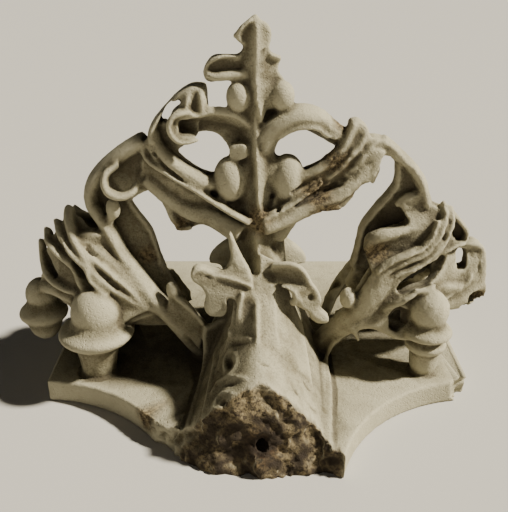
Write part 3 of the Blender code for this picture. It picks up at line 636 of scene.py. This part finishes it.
def carve_left_wing(mass, hollows):
    """Left wing: spine, fan of sharp ridges with deep slots, hollow shoulder and cup."""
    carve_blades(mass, LEFT_FAN, -1)
    spine = [
        (64, -12, -6), (84, -22, 22), (106, -38, 62), (130, -43, 94), (150, -34, 120), (171, -25, 150),
        (184, -19, 176), (196, -14, 197), (207, -8, 214), (205, -4, 236), (190, 0, 256), (164, 0, 277),
        (138, 0, 292),
    ]
    rib(mass, mirrored(spine, -1), (34, 18, 22), (44, 34, 46), steps=34, keel=0.9)
    ridges = (
        ([(-118, -50, 82), (-147, -52, 94), (-177, -54, 115), (-201, -52, 137), (-214, -46, 158),
            (-227, -36, 177), (-235, -22, 195), (-237, -6, 205)], (10, 13, 14)),
        ([(-186, -62, 112), (-205, -58, 130), (-212, -52, 145), (-228, -44, 160), (-243, -32, 176),
            (-252, -14, 192)], (6, 9, 9)),
        ([(-118, -48, 84), (-142, -50, 95), (-162, -51, 118), (-188, -49, 143), (-206, -43, 157),
            (-221, -31, 174), (-230, -14, 191)], (8, 10, 8)),
        ([(-200, -58, 104), (-220, -53, 122), (-228, -46, 143), (-249, -38, 160), (-261, -26, 169),
            (-266, -12, 179)], (8, 11, 9)),
        ([(-196, -58, 98), (-220, -52, 110), (-243, -45, 114), (-264, -34, 124), (-274, -20, 140),
            (-278, -6, 163)], (12, 12, 8)),
        ([(-196, -56, 92), (-232, -44, 98), (-262, -24, 100), (-288, -4, 94)], (16, 20, 18)),
        ([(-116, -46, 84), (-134, -47, 96), (-163, -42, 125), (-184, -37, 146), (-203, -32, 163),
            (-219, -27, 176)], (12, 14, 12)),
    )
    for path, wide in ridges:
        rib(mass, path, wide, (22, 26, 20), keel=0.85, steps=26)
    edge = [(100, 0, 70), (118, 2, 106), (128, 4, 140), (136, 4, 172), (152, 6, 196), (166, 8, 216),
        (160, 6, 250)]
    crown = [(120, -24, 84), (146, -22, 120), (168, -12, 150), (182, -6, 178), (200, 0, 212), (186, 0, 252)]
    web(mass, [mirrored(line, -1) for line in (edge, crown)], 14)
    rib(mass, mirrored([(120, -4, 104), (129, -2, 138), (138, 0, 172), (154, 2, 197), (166, 4, 216)], -1),
        (6, 7, 6), (14, 16, 14))
    patch = [
        (-178, -24, 150), (-184, -24, 172), (-204, -26, 184), (-222, -28, 182), (-228, -30, 172),
        (-214, -32, 150), (-196, -34, 134), (-180, -32, 132),
    ]
    slab(mass, patch, 18, count=40)
    cup = [(170, -18, 266), (182, -28, 258), (184, -34, 247), (178, -38, 237), (164, -37, 232),
        (151, -32, 237), (148, -24, 244)]
    rib(mass, mirrored(cup, -1), (8, 12, 9), (16, 20, 14))
    ball(mass, (-178, -28, 213), (9, 10, 14))
    rib(mass, mirrored([(180, -26, 206), (185, -24, 192), (186, -22, 180)], -1), (13, 9, 6), (16, 14, 10))
    curl = [(112, -50, 122), (104, -56, 108), (92, -60, 99), (80, -62, 86), (68, -64, 70)]
    rib(mass, mirrored(curl, -1), (9, 8, 5), (12, 14, 8))
    ball(mass, (-107, -52, 112), (9, 8, 11))
    skirt = [[(76, -44, 20), (92, -50, 48), (116, -56, 68)], [(66, -60, 68), (88, -60, 96), (112, -50, 120)]]
    web(mass, [mirrored(line, -1) for line in skirt], 9)
    lining = [
        [(112, -48, 84), (136, -54, 84), (164, -58, 74)], [(112, -28, 52), (140, -22, 48), (168, -24, 52)],
    ]
    web(mass, [mirrored(line, -1) for line in lining], 10)
    rib(hollows, [(-226, -36, 204), (-210, -40, 194), (-196, -40, 186)], (8, 12, 8), (14, 16, 12))
    for slot, wide, deep in (
        ([(230, -46, 152), (218, -58, 138), (208, -64, 122)], (3, 11, 5), (20, 26, 18)),
        ([(274, -20, 158), (266, -32, 140), (254, -40, 124)], (4, 11, 5), (20, 26, 20)),
        ([(250, -34, 190), (244, -42, 176), (236, -52, 162)], (2, 4, 2), (12, 16, 10)),
        ([(232, -26, 198), (224, -38, 178), (206, -50, 155), (186, -58, 130), (160, -60, 102)], (2, 4, 3),
            (12, 14, 10)),
        ([(222, -32, 180), (204, -44, 162), (180, -52, 138), (150, -54, 106), (126, -54, 88)], (2, 4, 3),
            (8, 10, 8)),
        ([(106, -50, 44), (112, -58, 34), (110, -58, 18)], (20, 30, 22), (30, 40, 30)),
    ):
        rib(hollows, mirrored(slot, -1), wide, deep)
    rib(hollows, mirrored([(160, -30, 252), (172, -32, 250), (176, -30, 244)], -1), (8, 12, 8), (22, 24, 18))


def carve_right_wing(mass, hollows):
    """Right wing: worn broad ridges, a deep scooped shoulder, and a flat outer lobe with an eye."""
    carve_blades(mass, RIGHT_FAN, 1)
    stalk = [(72, -10, -8), (87, -24, 20), (102, -38, 46), (126, -49, 76), (147, -53, 110), (160, -50, 134)]
    rib(mass, stalk, (28, 34, 36), (34, 32, 24))
    middle = [
        (116, 0, 96), (127, 0, 124), (131, 0, 160), (138, 0, 186), (150, 0, 206), (163, 0, 221),
        (174, 0, 240), (173, 0, 258), (172, 0, 274), (186, 0, 266), (200, 0, 248), (208, 0, 228),
        (216, 0, 210), (230, 0, 208), (246, 0, 200), (262, 0, 180), (264, 0, 164), (244, 0, 146),
        (222, -6, 124), (190, -14, 106), (160, -24, 96), (136, -28, 84),
    ]
    slab(mass, middle, 16, count=90)
    body = [
        (134, -26, 158), (136, -28, 172), (146, -30, 181), (160, -30, 186), (176, -28, 190),
        (186, -22, 196), (180, -14, 207), (176, -12, 217), (188, -12, 225), (202, -10, 228),
        (212, -8, 218), (226, -8, 209), (238, -10, 204), (238, -20, 184), (230, -30, 162),
        (216, -38, 152), (196, -46, 142), (178, -49, 130), (164, -50, 118), (150, -46, 126),
        (140, -36, 142),
    ]
    slab(mass, body, 24, count=90)
    band = [(150, 0, 292), (164, 0, 282), (178, 0, 268), (190, -4, 257), (200, -8, 242), (205, -9, 226),
        (211, -10, 212)]
    rib(mass, band, (14, 15, 16), (34, 38, 30), steps=26, keel=0.95)
    edge = [(124, 0, 122), (130, 0, 150), (134, 0, 176), (142, 0, 191), (152, 0, 206), (164, 0, 221),
        (174, 0, 240), (172, 0, 272)]
    rib(mass, edge, (8, 9, 9), (22, 26, 26), steps=26)
    rib(mass, [(180, -8, 266), (186, -12, 258), (197, -13, 250)], (6, 9, 7), (12, 14, 12))
    rib(mass, [(172, -12, 212), (180, -15, 221), (192, -15, 226), (204, -12, 224)], (7, 11, 10), (12, 14, 12))
    ridges = (
        ([(150, -54, 132), (168, -52, 146), (187, -50, 155), (206, -46, 162), (219, -41, 177),
            (227, -34, 191), (231, -24, 203), (231, -10, 213)], (11, 10, 9)),
        ([(146, -55, 140), (164, -54, 154), (184, -52, 163), (202, -47, 170), (214, -41, 184),
            (221, -32, 199)], (6, 7, 6)),
        ([(154, -54, 124), (176, -53, 138), (198, -50, 146), (217, -44, 160), (226, -38, 174)], (6, 7, 6)),
        ([(214, -43, 156), (228, -38, 168), (236, -31, 183), (241, -22, 196), (240, -10, 208)], (6, 8, 8)),
        ([(230, -30, 154), (248, -24, 162), (262, -15, 165), (264, -12, 178), (254, -12, 190),
            (244, -8, 202)], (5, 7, 7)),
        ([(130, -54, 88), (142, -54, 104), (156, -52, 122)], (16, 18, 14)),
        ([(176, -54, 104), (204, -46, 114), (236, -38, 112), (262, -24, 104)], (14, 16, 16)),
        ([(160, -58, 92), (173, -64, 102), (186, -66, 111), (199, -62, 119)], (10, 10, 6)),
    )
    for path, wide in ridges:
        rib(mass, path, wide, (18, 20, 16), keel=0.88, steps=26)
    rib(mass, [(138, -34, 160), (141, -36, 172), (151, -38, 180), (166, -38, 184), (184, -34, 188)],
        (13, 16, 9), (16, 18, 14))
    rib(mass, [(188, -60, 127), (196, -63, 120), (209, -63, 118), (220, -56, 123)], (5, 9, 5), (12, 14, 10))
    ball(mass, (113, -54, 103), (10, 11, 14))
    rib(mass, [(116, -58, 66), (124, -62, 58), (130, -62, 44)], (8, 7, 4), (10, 10, 6))
    rib(mass, [(92, -48, 16), (97, -53, 34), (107, -57, 45)], (5, 7, 5), (10, 12, 8))
    margin = [
        (94, -44, 22), (104, -51, 42), (117, -56, 55), (130, -60, 64), (144, -62, 67), (161, -65, 62),
        (173, -68, 56), (184, -72, 56), (198, -80, 60),
    ]
    rib(mass, margin, (6, 8, 7), (10, 12, 10), steps=30)
    for slot, wide, deep in (
        ([(148, -24, 196), (164, -24, 200), (178, -20, 200)], (6, 16, 12), (24, 28, 20)),
        ([(175, -18, 243), (184, -18, 238), (194, -18, 234)], (8, 16, 9), (20, 22, 16)),
        ([(236, -38, 152), (224, -42, 140), (208, -46, 131), (190, -50, 124), (174, -56, 114)],
            (10, 26, 12), (30, 44, 30)),
        ([(151, -48, 156), (160, -48, 165), (170, -48, 172), (181, -46, 178)], (3, 5, 3), (14, 18, 12)),
        ([(224, -38, 190), (217, -48, 172), (200, -56, 158)], (2, 4, 2), (10, 12, 8)),
        ([(236, -24, 200), (234, -36, 180), (224, -46, 165)], (2, 4, 2), (12, 12, 8)),
        ([(252, -22, 190), (250, -28, 176), (242, -34, 164)], (3, 5, 3), (12, 14, 10)),
        ([(170, -70, 64), (176, -70, 76), (182, -64, 94)], (12, 30, 18), (26, 40, 28)),
    ):
        rib(hollows, slot, wide, deep)
    slab(mass, [(160, -40, 60), (176, -38, 44), (206, -38, 52), (212, -38, 92), (184, -38, 104),
        (164, -40, 90)], 10, count=30)
    carve_right_tip(mass, hollows)


def carve_right_tip(mass, hollows):
    """Flat outer lobe with a curled eye, broken where the tip bud is lost."""
    outline = [
        (234, -4, 150), (250, -4, 156), (265, -3, 160), (279, -2, 161), (290, -2, 153), (296, -2, 136),
        (299, -2, 110), (301, -2, 92), (300, -1, 80), (289, -1, 74), (278, -2, 68), (266, -6, 66),
        (250, -20, 72), (238, -28, 84), (226, -28, 110), (222, -20, 138),
    ]
    slab(mass, outline, 24, count=70)
    rib(mass, [(264, -10, 158), (279, -9, 158), (289, -8, 149), (293, -7, 133), (295, -7, 104)], (8, 9, 9),
        (14, 16, 14))
    hook = [(248, -16, 130), (251, -20, 116), (259, -22, 107), (269, -21, 107), (275, -19, 116),
        (273, -16, 128)]
    rib(mass, hook, (5, 9, 5), (12, 16, 12))
    rib(hollows, [(283, -16, 148), (286, -17, 128), (287, -16, 104)], (4, 6, 4), (5, 6, 5))
    for depth in (-16, 0, 16):
        rib(hollows, [(260, depth, 154), (259, depth, 141), (261, depth, 127)], (14, 20, 15), (22, 22, 22))
    rib(hollows, [(272, -14, 152), (275, -15, 140), (273, -15, 126)], (3, 4, 3), (10, 12, 10))
    ball(hollows, (288, -16, 84), (13, 16, 10))
    ball(hollows, (273, -15, 72), (7, 13, 5))


# Buds


def carve_bud(mass, centre, radius, profile, lean=(0, 0)):
    """Ball seated in a flaring brim over a cup, from the profile of radius and height about its centre."""
    ball(mass, centre, (radius, radius, radius * 1.1))
    turned(mass, centre, profile, tilt=lean)


def carve_buds(mass, hollows):
    """Hanging buds: one under each half-blade, and one at the left tip."""
    wide = [
        (22, -94), (22, -84), (25, -60), (28, -47), (34, -41), (44, -34), (48, -29), (48, -25), (44, -21),
        (35, -16), (30, -8), (24, 4),
    ]
    narrow = [
        (9, -95), (14, -90), (18, -80), (19, -68), (19, -58), (26, -52), (27, -46), (21, -42), (20, -38),
        (30, -34), (33, -30), (30, -25), (22, -19), (14, 0),
    ]
    tip = [(3, -66), (12, -64), (19, -56), (22, -46), (25, -39), (32, -31), (33, -27), (31, -23), (24, -16),
        (17, -5)]
    for front in (1, -1):
        carve_bud(mass, (-205, -front * 62, 86), 31, wide, lean=(0.03, 0))
    carve_bud(mass, (215, -64, 91), 25, narrow)
    carve_bud(mass, (221, 58, 89), 22.5, narrow)
    carve_bud(mass, (-291, 0, 80), 21, tip)
    rib(hollows, [(-226, -92, 62), (-222, -88, 46), (-218, -84, 22)], (2, 3.5, 3), (6, 9, 8))
    rib(hollows, [(-212, -92, 40), (-198, -92, 46), (-184, -84, 50)], (2, 5, 4), (8, 12, 10))
    rib(hollows, [(-300, -30, 46), (-284, -32, 42), (-270, -26, 50)], (2, 4, 3), (6, 9, 8))
    rib(hollows, [(204, -88, 48), (222, -92, 50), (242, -82, 54)], (4, 7, 5), (18, 20, 16))


def carve_back(mass):
    """Plainer leaf on the back of the trunk."""
    for side in (-1, 1):
        lobe = [
            (6, 26, 178), (20, 40, 166), (38, 56, 136), (51, 58, 128), (66, 58, 112), (67, 56, 101),
            (52, 54, 100), (46, 50, 84), (30, 44, 78), (8, 34, 96),
        ]
        slab(mass, mirrored(lobe, side), 13, count=50)
        rib(mass, mirrored([(10, 40, 168), (36, 60, 136), (60, 64, 114)], side), (6, 8, 6), (12, 14, 12))
    rib(mass, [(0, 20, 210), (0, 54, 160), (0, 78, 90), (0, 92, 10)], (34, 44, 70), (30, 36, 40))


# Breaks


def roughened(place, seed, size):
    """Place moved by the uneven surface of a break."""
    spread = place + Vector((seed, 0, 0))
    coarse = noise.noise_vector(spread / 0.032) * size * 1.9
    middle = noise.noise_vector(spread / 0.012) * size * 1.1
    return place + coarse + middle + noise.noise_vector(spread / 0.005) * size * 0.45


def cut_front_break(mass):
    """Stone lost at the front: the leaf's root and the plate's left horn."""
    line = [
        (-0.200, -0.210), (-0.158, -0.157), (-0.122, -0.172), (-0.104, -0.186), (-0.086, -0.200),
        (-0.067, -0.213), (-0.046, -0.222), (-0.020, -0.227), (0.004, -0.230), (0.030, -0.228),
        (0.056, -0.222), (0.074, -0.220), (0.090, -0.233), (0.110, -0.255), (0.140, -0.300),
    ]
    path = curve_through([(x, y, 0) for x, y in line], 130)
    rings = []
    for level in range(52):
        height = -0.010 + level * 0.0025
        edge = [roughened(Vector((p.x, p.y + 0.35 * max(height, 0), height)), 3.0, 0.005) for p in path]
        for place in edge:
            place.z = height
        rings.append(edge + [Vector((0.20, -0.40, height)), Vector((-0.28, -0.40, height))])
    loft(mass, rings)


def cut_chip(mass):
    """Bite out of the plate's right corner."""
    centre = Vector((PLATE_HALF + 0.004, -HORN_HALF - 0.008, PLATE_THICK * 0.7))
    bmesh.ops.create_icosphere(mass, subdivisions=4, radius=0.026, matrix=Matrix.Translation(centre))
    for vert in mass.verts:
        vert.co = roughened(vert.co, 9.0, 0.006)


def cut_dowel_hole(mass):
    """Bore for the dowel that once held a repair to the break."""
    reach = 0.068 + DOWEL_DEPTH
    place = Matrix.Translation(Vector((DOWEL_AT[0], -0.300 + reach / 2, DOWEL_AT[1])))
    radius = DOWEL_DIAMETER / 2
    bmesh.ops.create_cone(mass, cap_ends=True, segments=32, radius1=radius, radius2=radius, depth=reach,
                          matrix=place @ Matrix.Rotation(math.pi / 2, 4, "X"))


# Fusing, cutting, weathering and painting shade


def new_piece(name, mesh):
    """Object in the scene."""
    piece = bpy.data.objects.new(name, mesh)
    bpy.context.scene.collection.objects.link(piece)
    return piece


def mesh_of(mass, name):
    """Mesh with its faces turned outwards."""
    bmesh.ops.recalc_face_normals(mass, faces=mass.faces)
    mesh = bpy.data.meshes.new(name)
    mass.to_mesh(mesh)
    mass.free()
    return mesh


def applied(piece):
    """Mesh of a piece with its modifiers applied; the piece is removed."""
    graph = bpy.context.evaluated_depsgraph_get()
    mesh = bpy.data.meshes.new_from_object(piece.evaluated_get(graph))
    bpy.data.objects.remove(piece)
    return mesh


def fused(mesh, soften):
    """One skin over overlapping bodies, softened by a few passes."""
    piece = new_piece("fusing", mesh)
    fuse = piece.modifiers.new("fuse", "REMESH")
    fuse.mode = "VOXEL"
    fuse.voxel_size = VOXEL
    wear = piece.modifiers.new("wear", "SMOOTH")
    wear.factor = 0.5
    wear.iterations = soften
    return applied(piece)


def cut(mesh, tools):
    """Mesh less the stone that the cutting bodies take away."""
    piece = new_piece("cutting", mesh)
    bodies = []
    for tool in tools:
        body = new_piece("tool", tool)
        bodies.append(body)
        take = piece.modifiers.new("take", "BOOLEAN")
        take.operation = "DIFFERENCE"
        take.solver = "MANIFOLD"
        take.object = body
    result = applied(piece)
    for body in bodies:
        bpy.data.objects.remove(body)
    return result


def keep_largest_skin(mesh):
    """Remove crumbs, and the walls of hollows sealed inside the stone."""
    count = len(mesh.vertices)
    edges = np.empty(len(mesh.edges) * 2, np.int32)
    mesh.edges.foreach_get("vertices", edges)
    first, second = edges[0::2], edges[1::2]
    label = np.arange(count)
    while True:
        low = np.minimum(label[first], label[second])
        settled = label.copy()
        np.minimum.at(settled, first, low)
        np.minimum.at(settled, second, low)
        settled = settled[settled]
        if (settled == label).all():
            break
        label = settled
    largest = np.bincount(label).argmax()
    skin = bmesh.new()
    skin.from_mesh(mesh)
    skin.verts.ensure_lookup_table()
    strays = [skin.verts[index] for index in np.nonzero(label != largest)[0]]
    bmesh.ops.delete(skin, geom=strays, context="VERTS")
    skin.to_mesh(mesh)
    skin.free()


def build_stone():
    """Mesh of the whole carved block."""
    noise.seed_set(BREAK_SEED)
    mass, hollows = bmesh.new(), bmesh.new()
    carve_plate(mass)
    carve_trunk(mass)
    carve_flank_relief(mass, hollows)
    carve_stem(mass, hollows)
    carve_top_leaf(mass, hollows)
    carve_front_leaf(mass, hollows)
    carve_left_arm(mass, hollows)
    carve_right_arm(mass, hollows)
    carve_arches(mass, hollows)
    carve_left_scroll(mass, hollows)
    carve_left_wing(mass, hollows)
    carve_right_wing(mass, hollows)
    carve_buds(mass, hollows)
    carve_back(mass)
    stone = fused(mesh_of(mass, "mass"), 1)
    stone = cut(stone, [fused(mesh_of(hollows, "hollows"), 1)])
    stone = fused(stone, 2)
    tools = []
    for make in (cut_front_break, cut_chip, cut_dowel_hole):
        tool = bmesh.new()
        make(tool)
        tools.append(mesh_of(tool, "tool"))
    stone = cut(stone, tools)
    keep_largest_skin(stone)
    return stone


def reduced(mesh, triangles):
    """Mesh with its flat areas thinned to a count of triangles."""
    mesh.calc_loop_triangles()
    piece = new_piece("thinning", mesh)
    thin = piece.modifiers.new("thin", "DECIMATE")
    thin.ratio = min(1.0, triangles / len(mesh.loop_triangles))
    return applied(piece)


def occlusion_shade(mesh, places, normals):
    """Share of the sky that nearby stone hides from each point, used as painted shade in recesses."""
    tree = BVHTree.FromPolygons(places.tolist(), [tuple(face.vertices) for face in mesh.polygons])
    rays = 12
    turn = np.arange(rays) * math.pi * (3 - math.sqrt(5))
    rise = np.sqrt((np.arange(rays) + 0.5) / rays)
    spread = np.sqrt(1 - rise**2)
    aside = np.cross(normals, np.where(abs(normals[:, 2:]) < 0.9, (0.0, 0.0, 1.0), (1.0, 0.0, 0.0)))
    aside /= np.linalg.norm(aside, axis=1)[:, None]
    across = np.cross(normals, aside)
    starts = (places + normals * 0.0012).tolist()
    hidden = np.zeros(len(places))
    for ray in range(rays):
        east, north, up = spread[ray] * math.cos(turn[ray]), spread[ray] * math.sin(turn[ray]), rise[ray]
        aims = (aside * east + across * north + normals * up).tolist()
        hidden += [tree.ray_cast(start, aim, 0.07)[3] is not None for start, aim in zip(starts, aims)]
    return hidden / rays


# Places where the stone is broken or crumbling: centre in drawn millimetres, reach, roughness
BROKEN = {
    "fork": ((4, -38, 200), 26, 2.2),
    "right arm": ((84, -26, 208), 34, 2.4),
    "right arm end": ((120, -12, 236), 22, 1.8),
    "right arch end": ((96, 0, 306), 24, 1.4),
    "right ridge": ((92, -16, 272), 26, 1.4),
    "left lip": ((-100, -10, 184), 18, 1.6),
    "left patch": ((-148, -4, 138), 24, 2.6),
    "right arm gap": ((72, -34, 236), 30, 1.8),
    "right shoulder": ((146, -36, 160), 26, 1.6),
    "right tip": ((294, -4, 88), 20, 2.4),
    "left plate edge": ((-140, -160, -6), 26, 1.4),
}


# Face of the front break: its depth, top and half width, and the rust and the bore of the dowel in it
BREAK_FACE_Y = -0.180
BREAK_FACE_TOP = 0.112
BREAK_FACE_HALF = 0.10
RUST_REACH = 0.030
BORE_REACH = 0.0095
# Height above which the break's face has no painted shade; below it the face is painted darker
BREAK_SHADE_TOP = 0.082


def faded(distance, width):
    """Share that grows from 0 to 1 over a width."""
    return np.clip(distance / width, 0, 1)


def neighbours_mean(values, first, second, degree):
    """Mean over the points that edges join to each point."""
    count = len(degree)
    return (np.bincount(first, values[second], count) + np.bincount(second, values[first], count)) / degree


def weather_and_paint_shade(mesh):
    """Roughen breaks, pit the skin, note where it is broken, hollow or worn, and where shade is painted."""
    count = len(mesh.vertices)
    places = np.empty(count * 3, np.float64)
    mesh.vertices.foreach_get("co", places)
    places = places.reshape(-1, 3)
    normals = np.empty(count * 3, np.float64)
    mesh.vertices.foreach_get("normal", normals)
    normals = normals.reshape(-1, 3)
    edges = np.empty(len(mesh.edges) * 2, np.int32)
    mesh.edges.foreach_get("vertices", edges)
    first, second = edges[0::2], edges[1::2]
    degree = np.bincount(edges, minlength=count).astype(float)

    broken = np.zeros(count)
    rough = np.full(count, 0.35)
    for centre, reach, size in BROKEN.values():
        middle = np.array(at(centre))
        near = 1 - np.linalg.norm(places - middle, axis=1) / (reach * UNIT)
        near = np.clip(near * 1.6, 0, 1)
        broken = np.maximum(broken, near)
        rough = np.maximum(rough, near * size)
    face = faded(BREAK_FACE_Y - places[:, 1], 0.02) * faded(BREAK_FACE_TOP - places[:, 2], 0.01)
    facing = np.clip(-normals[:, 1] * 1.6 - 0.3, 0, 1)
    front = face * facing * faded(BREAK_FACE_HALF - abs(places[:, 0]), 0.01)
    rough = np.maximum(rough, front * 1.2)
    rough = np.maximum(rough, 0.9 * faded(places[:, 0] - 0.05, 0.04) * (places[:, 2] > 0.12))
    broken = np.maximum(broken, front)
    from_dowel = np.hypot(places[:, 0] - DOWEL_AT[0], places[:, 2] - DOWEL_AT[1])
    rust = front * np.clip(1 - from_dowel / RUST_REACH, 0, 1)
    bore = (from_dowel < BORE_REACH) & (places[:, 1] < -0.120)
    rust[bore] = 1
    # The lower part of the break's face is darkened as painted shade, its edge broken up by noise
    break_shade = faded(BREAK_SHADE_TOP - places[:, 2], 0.020) * front
    bristle = np.array([noise.noise(Vector(place) / 0.014) for place in places])
    break_shade *= np.clip(0.85 + bristle, 0, 1)

    shift = np.empty(count)
    for index, place in enumerate(places):
        spot = Vector(place)
        grain = noise.noise(spot / 0.007) + 0.6 * noise.noise(spot / 0.0032)
        shift[index] = grain * rough[index] * MILLIMETRE
    level = places[:, 2] < PLATE_THICK * 0.2
    shift[level] = 0
    places = places + normals * shift[:, None]
    places[:, 2] = np.maximum(places[:, 2], 0)
    mesh.vertices.foreach_set("co", places.ravel())

    smooth = places.copy()
    for _ in range(14):
        for axis in range(3):
            smooth[:, axis] = neighbours_mean(smooth[:, axis], first, second, degree)
    # Concave places are darkened as painted shade; convex ones are marked as worn
    hollow = np.einsum("ij,ij->i", smooth - places, normals) / 0.0016
    # Painted shade: the share of sky hidden by nearby stone, softened, then joined with the darkened lower
    # break face
    painted_shade = occlusion_shade(mesh, places, normals)
    for _ in range(3):
        painted_shade = (painted_shade + neighbours_mean(painted_shade, first, second, degree)) / 2
    painted_shade = np.maximum(painted_shade, break_shade)
    # The dowel's bore is painted fully dark as painted shade inside the hole; its rust above is a real stain
    painted_shade[bore] = 1
    for name, values in (
        ("broken", broken), ("rust", rust), ("painted_shade", painted_shade),
        ("hollow", np.clip(hollow, 0, 1)), ("worn", np.clip(-hollow, 0, 1)),
    ):
        layer = mesh.attributes.new(name, "FLOAT", "POINT")
        layer.data.foreach_set("value", values.astype(np.float32))
    mesh.update()


# Material


def linear(hex_colour):
    """Linear colour from an sRGB hex value."""
    channels = [int(hex_colour[i:i + 2], 16) / 255 for i in (1, 3, 5)]
    straight = [c / 12.92 if c <= 0.04045 else ((c + 0.055) / 1.055) ** 2.4 for c in channels]
    return (*straight, 1.0)


def add(tree, kind, result, sockets, **settings):
    """One output of a new node with its settings; a socket takes a value or another node's output."""
    made = tree.nodes.new("ShaderNode" + kind)
    for name, value in settings.items():
        setattr(made, name, value)
    for key, value in sockets.items():
        if isinstance(value, bpy.types.NodeSocket):
            tree.links.new(value, made.inputs[key])
        else:
            made.inputs[key].default_value = value
    return made.outputs[result] if made.outputs else made


def per_metre(millimetres):
    """Pattern scale for a spacing in millimetres."""
    return 1000 / millimetres


def carved_limestone():
    """Fine limestone, carved and long weathered: matt, warm grey, with shade painted into its hollows.

    Broken faces show the browner inner stone, coarse as crumb, with rust near the dowel.
    """
    material = bpy.data.materials.new("carved limestone")
    material.use_nodes = True
    tree = material.node_tree
    tree.nodes.clear()
    place = add(tree, "TexCoord", "Object", {})
    # Clouds and blotches of the bed, its grain, the crumb of breaks, and pits drawn coarse enough to show
    noises = {}
    for name, spacing, detail, rough in (
        ("cloud", 70, 4, 0.5), ("blotch", 16, 5, 0.5), ("grain", 2.4, 3, 0.5), ("crumb", 5, 6, 0.7),
    ):
        noises[name] = add(tree, "TexNoise", 0, {
            "Vector": place, "Scale": per_metre(spacing), "Detail": detail, "Roughness": rough,
        })
    pits = add(tree, "TexVoronoi", "Distance", {"Vector": place, "Scale": per_metre(4.5)})
    crumb = noises["crumb"]
    inner = add(tree, "Mix", 2, {
        0: add(tree, "MapRange", 0, {"Value": crumb, "From Min": 0.40, "From Max": 0.62}),
        6: linear("#362D22"), 7: linear("#8C7D5D"),
    }, data_type="RGBA")
    stain = add(tree, "Mix", 2, {
        0: add(tree, "MapRange", 0, {"Value": crumb, "From Min": 0.42, "From Max": 0.6}),
        6: linear("#1E1711"), 7: linear("#573A22"),
    }, data_type="RGBA")
    # Each coat lies over the one before: what it follows, where it starts and is full, its most, its colour
    colour = linear("#7F7961")
    for follows, low, full, most, coat in (
        ("cloud", 0.35, 0.65, 1, linear("#9A947B")),
        ("blotch", 0.50, 0.74, 1, linear("#6B634C")),
        ("grain", 0.44, 0.70, 0.55, linear("#4B4535")),
        ("worn", 0, 1, 0.6, linear("#BDB79C")),
        # hollow darkens the concave places: painted shade
        ("hollow", 0, 1, 0.7, linear("#382F21")),
        ("broken", 0.15, 0.9, 1, inner), ("rust", 0.05, 0.8, 1, stain),
        # The last coat is painted shade, darkest where nearby stone hides the sky and on the lower break face
        ("painted_shade", 0.36, 1.05, 1, linear("#2A2219")),
    ):
        if follows in noises:
            source = noises[follows]
        else:
            source = add(tree, "Attribute", "Fac", {}, attribute_name=follows)
        share = add(tree, "MapRange", 0, {"Value": source, "From Min": low, "From Max": full, "To Max": most})
        colour = add(tree, "Mix", 2, {0: share, 6: colour, 7: coat}, data_type="RGBA")
    height = add(tree, "Math", 0, {0: noises["grain"], 1: crumb}, operation="ADD")
    pitted = add(tree, "MapRange", 0, {"Value": pits, "From Min": 0, "From Max": 0.25})
    height = add(tree, "Math", 0, {0: height, 1: pitted}, operation="ADD")
    bump = add(tree, "Bump", 0, {"Height": height, "Strength": 0.8, "Distance": 0.0010})
    skin = add(tree, "BsdfPrincipled", 0, {
        "Base Color": colour, "Roughness": 0.9, "Normal": bump, "IOR": 1.5, "Specular IOR Level": 0.3,
    })
    add(tree, "OutputMaterial", 0, {"Surface": skin})
    return material


def plain_floor_paint():
    """Matt pale studio floor."""
    material = bpy.data.materials.new("studio floor")
    material.use_nodes = True
    shader = material.node_tree.nodes["Principled BSDF"]
    shader.inputs["Base Color"].default_value = linear("#BDBAB2")
    shader.inputs["Roughness"].default_value = 0.9
    return material


# Studio

SUN_POWER = 9.5
SUN_WIDTH = 5
SUN_FROM = (0.74, -0.05, 0.67)
FILL_AT = (-0.5, -2.0, 0.7)
FILL_SIZE = 0.8
FILL_POWER = 4
SKY_POWER = 0.05
FLOOR_SIZE = 30
# Camera's place, its tilt from straight down in degrees, and its focal length
CAMERA_AT = (-0.005, -0.825, 0.552)
CAMERA_TILT = 64.9
CAMERA_LENS = 49.25


def light_panel(name, place, aim, size, power, tint):
    """Soft square light."""
    lamp = bpy.data.lights.new(name, "AREA")
    lamp.size = size
    lamp.energy = power
    lamp.color = linear(tint)[:3]
    holder = new_piece(name, lamp)
    holder.location = place
    holder.rotation_euler = (Vector(aim) - Vector(place)).to_track_quat("-Z", "Y").to_euler()


def set_studio():
    """Floor, lights and the camera, which looks down from in front."""
    bpy.ops.mesh.primitive_plane_add(size=FLOOR_SIZE, location=(0, 0, stone_low.z))
    floor = bpy.context.object
    floor.name = "studio_floor"
    floor.data.materials.append(plain_floor_paint())
    sun = bpy.data.lights.new("key", "SUN")
    sun.energy = SUN_POWER
    sun.angle = math.radians(SUN_WIDTH)
    sun.color = linear("#FFF8E8")[:3]
    key = new_piece("key", sun)
    key.rotation_euler = Vector(SUN_FROM).to_track_quat("Z", "Y").to_euler()
    light_panel("fill", FILL_AT, (0, 0, 0.2), FILL_SIZE, FILL_POWER, "#FFF6EA")
    world = bpy.data.worlds.new("studio")
    bpy.context.scene.world = world
    world.use_nodes = True
    world.node_tree.nodes["Background"].inputs[0].default_value = linear("#C8C8C8")
    world.node_tree.nodes["Background"].inputs[1].default_value = SKY_POWER
    lens = bpy.data.cameras.new("camera")
    lens.sensor_fit = "HORIZONTAL"
    lens.sensor_width = 36
    lens.lens = CAMERA_LENS
    camera = new_piece("camera", lens)
    camera.location = CAMERA_AT
    camera.rotation_euler = (math.radians(CAMERA_TILT), 0, 0)
    bpy.context.scene.camera = camera


stone_mesh = reduced(build_stone(), TRIANGLES)
weather_and_paint_shade(stone_mesh)
stone_mesh.polygons.foreach_set("use_smooth", [True] * len(stone_mesh.polygons))
stone_mesh.materials.clear()
stone_mesh.materials.append(carved_limestone())
stone = new_piece("fleuron_stone", stone_mesh)
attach(stone, "root")
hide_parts("fleuron")
set_studio()
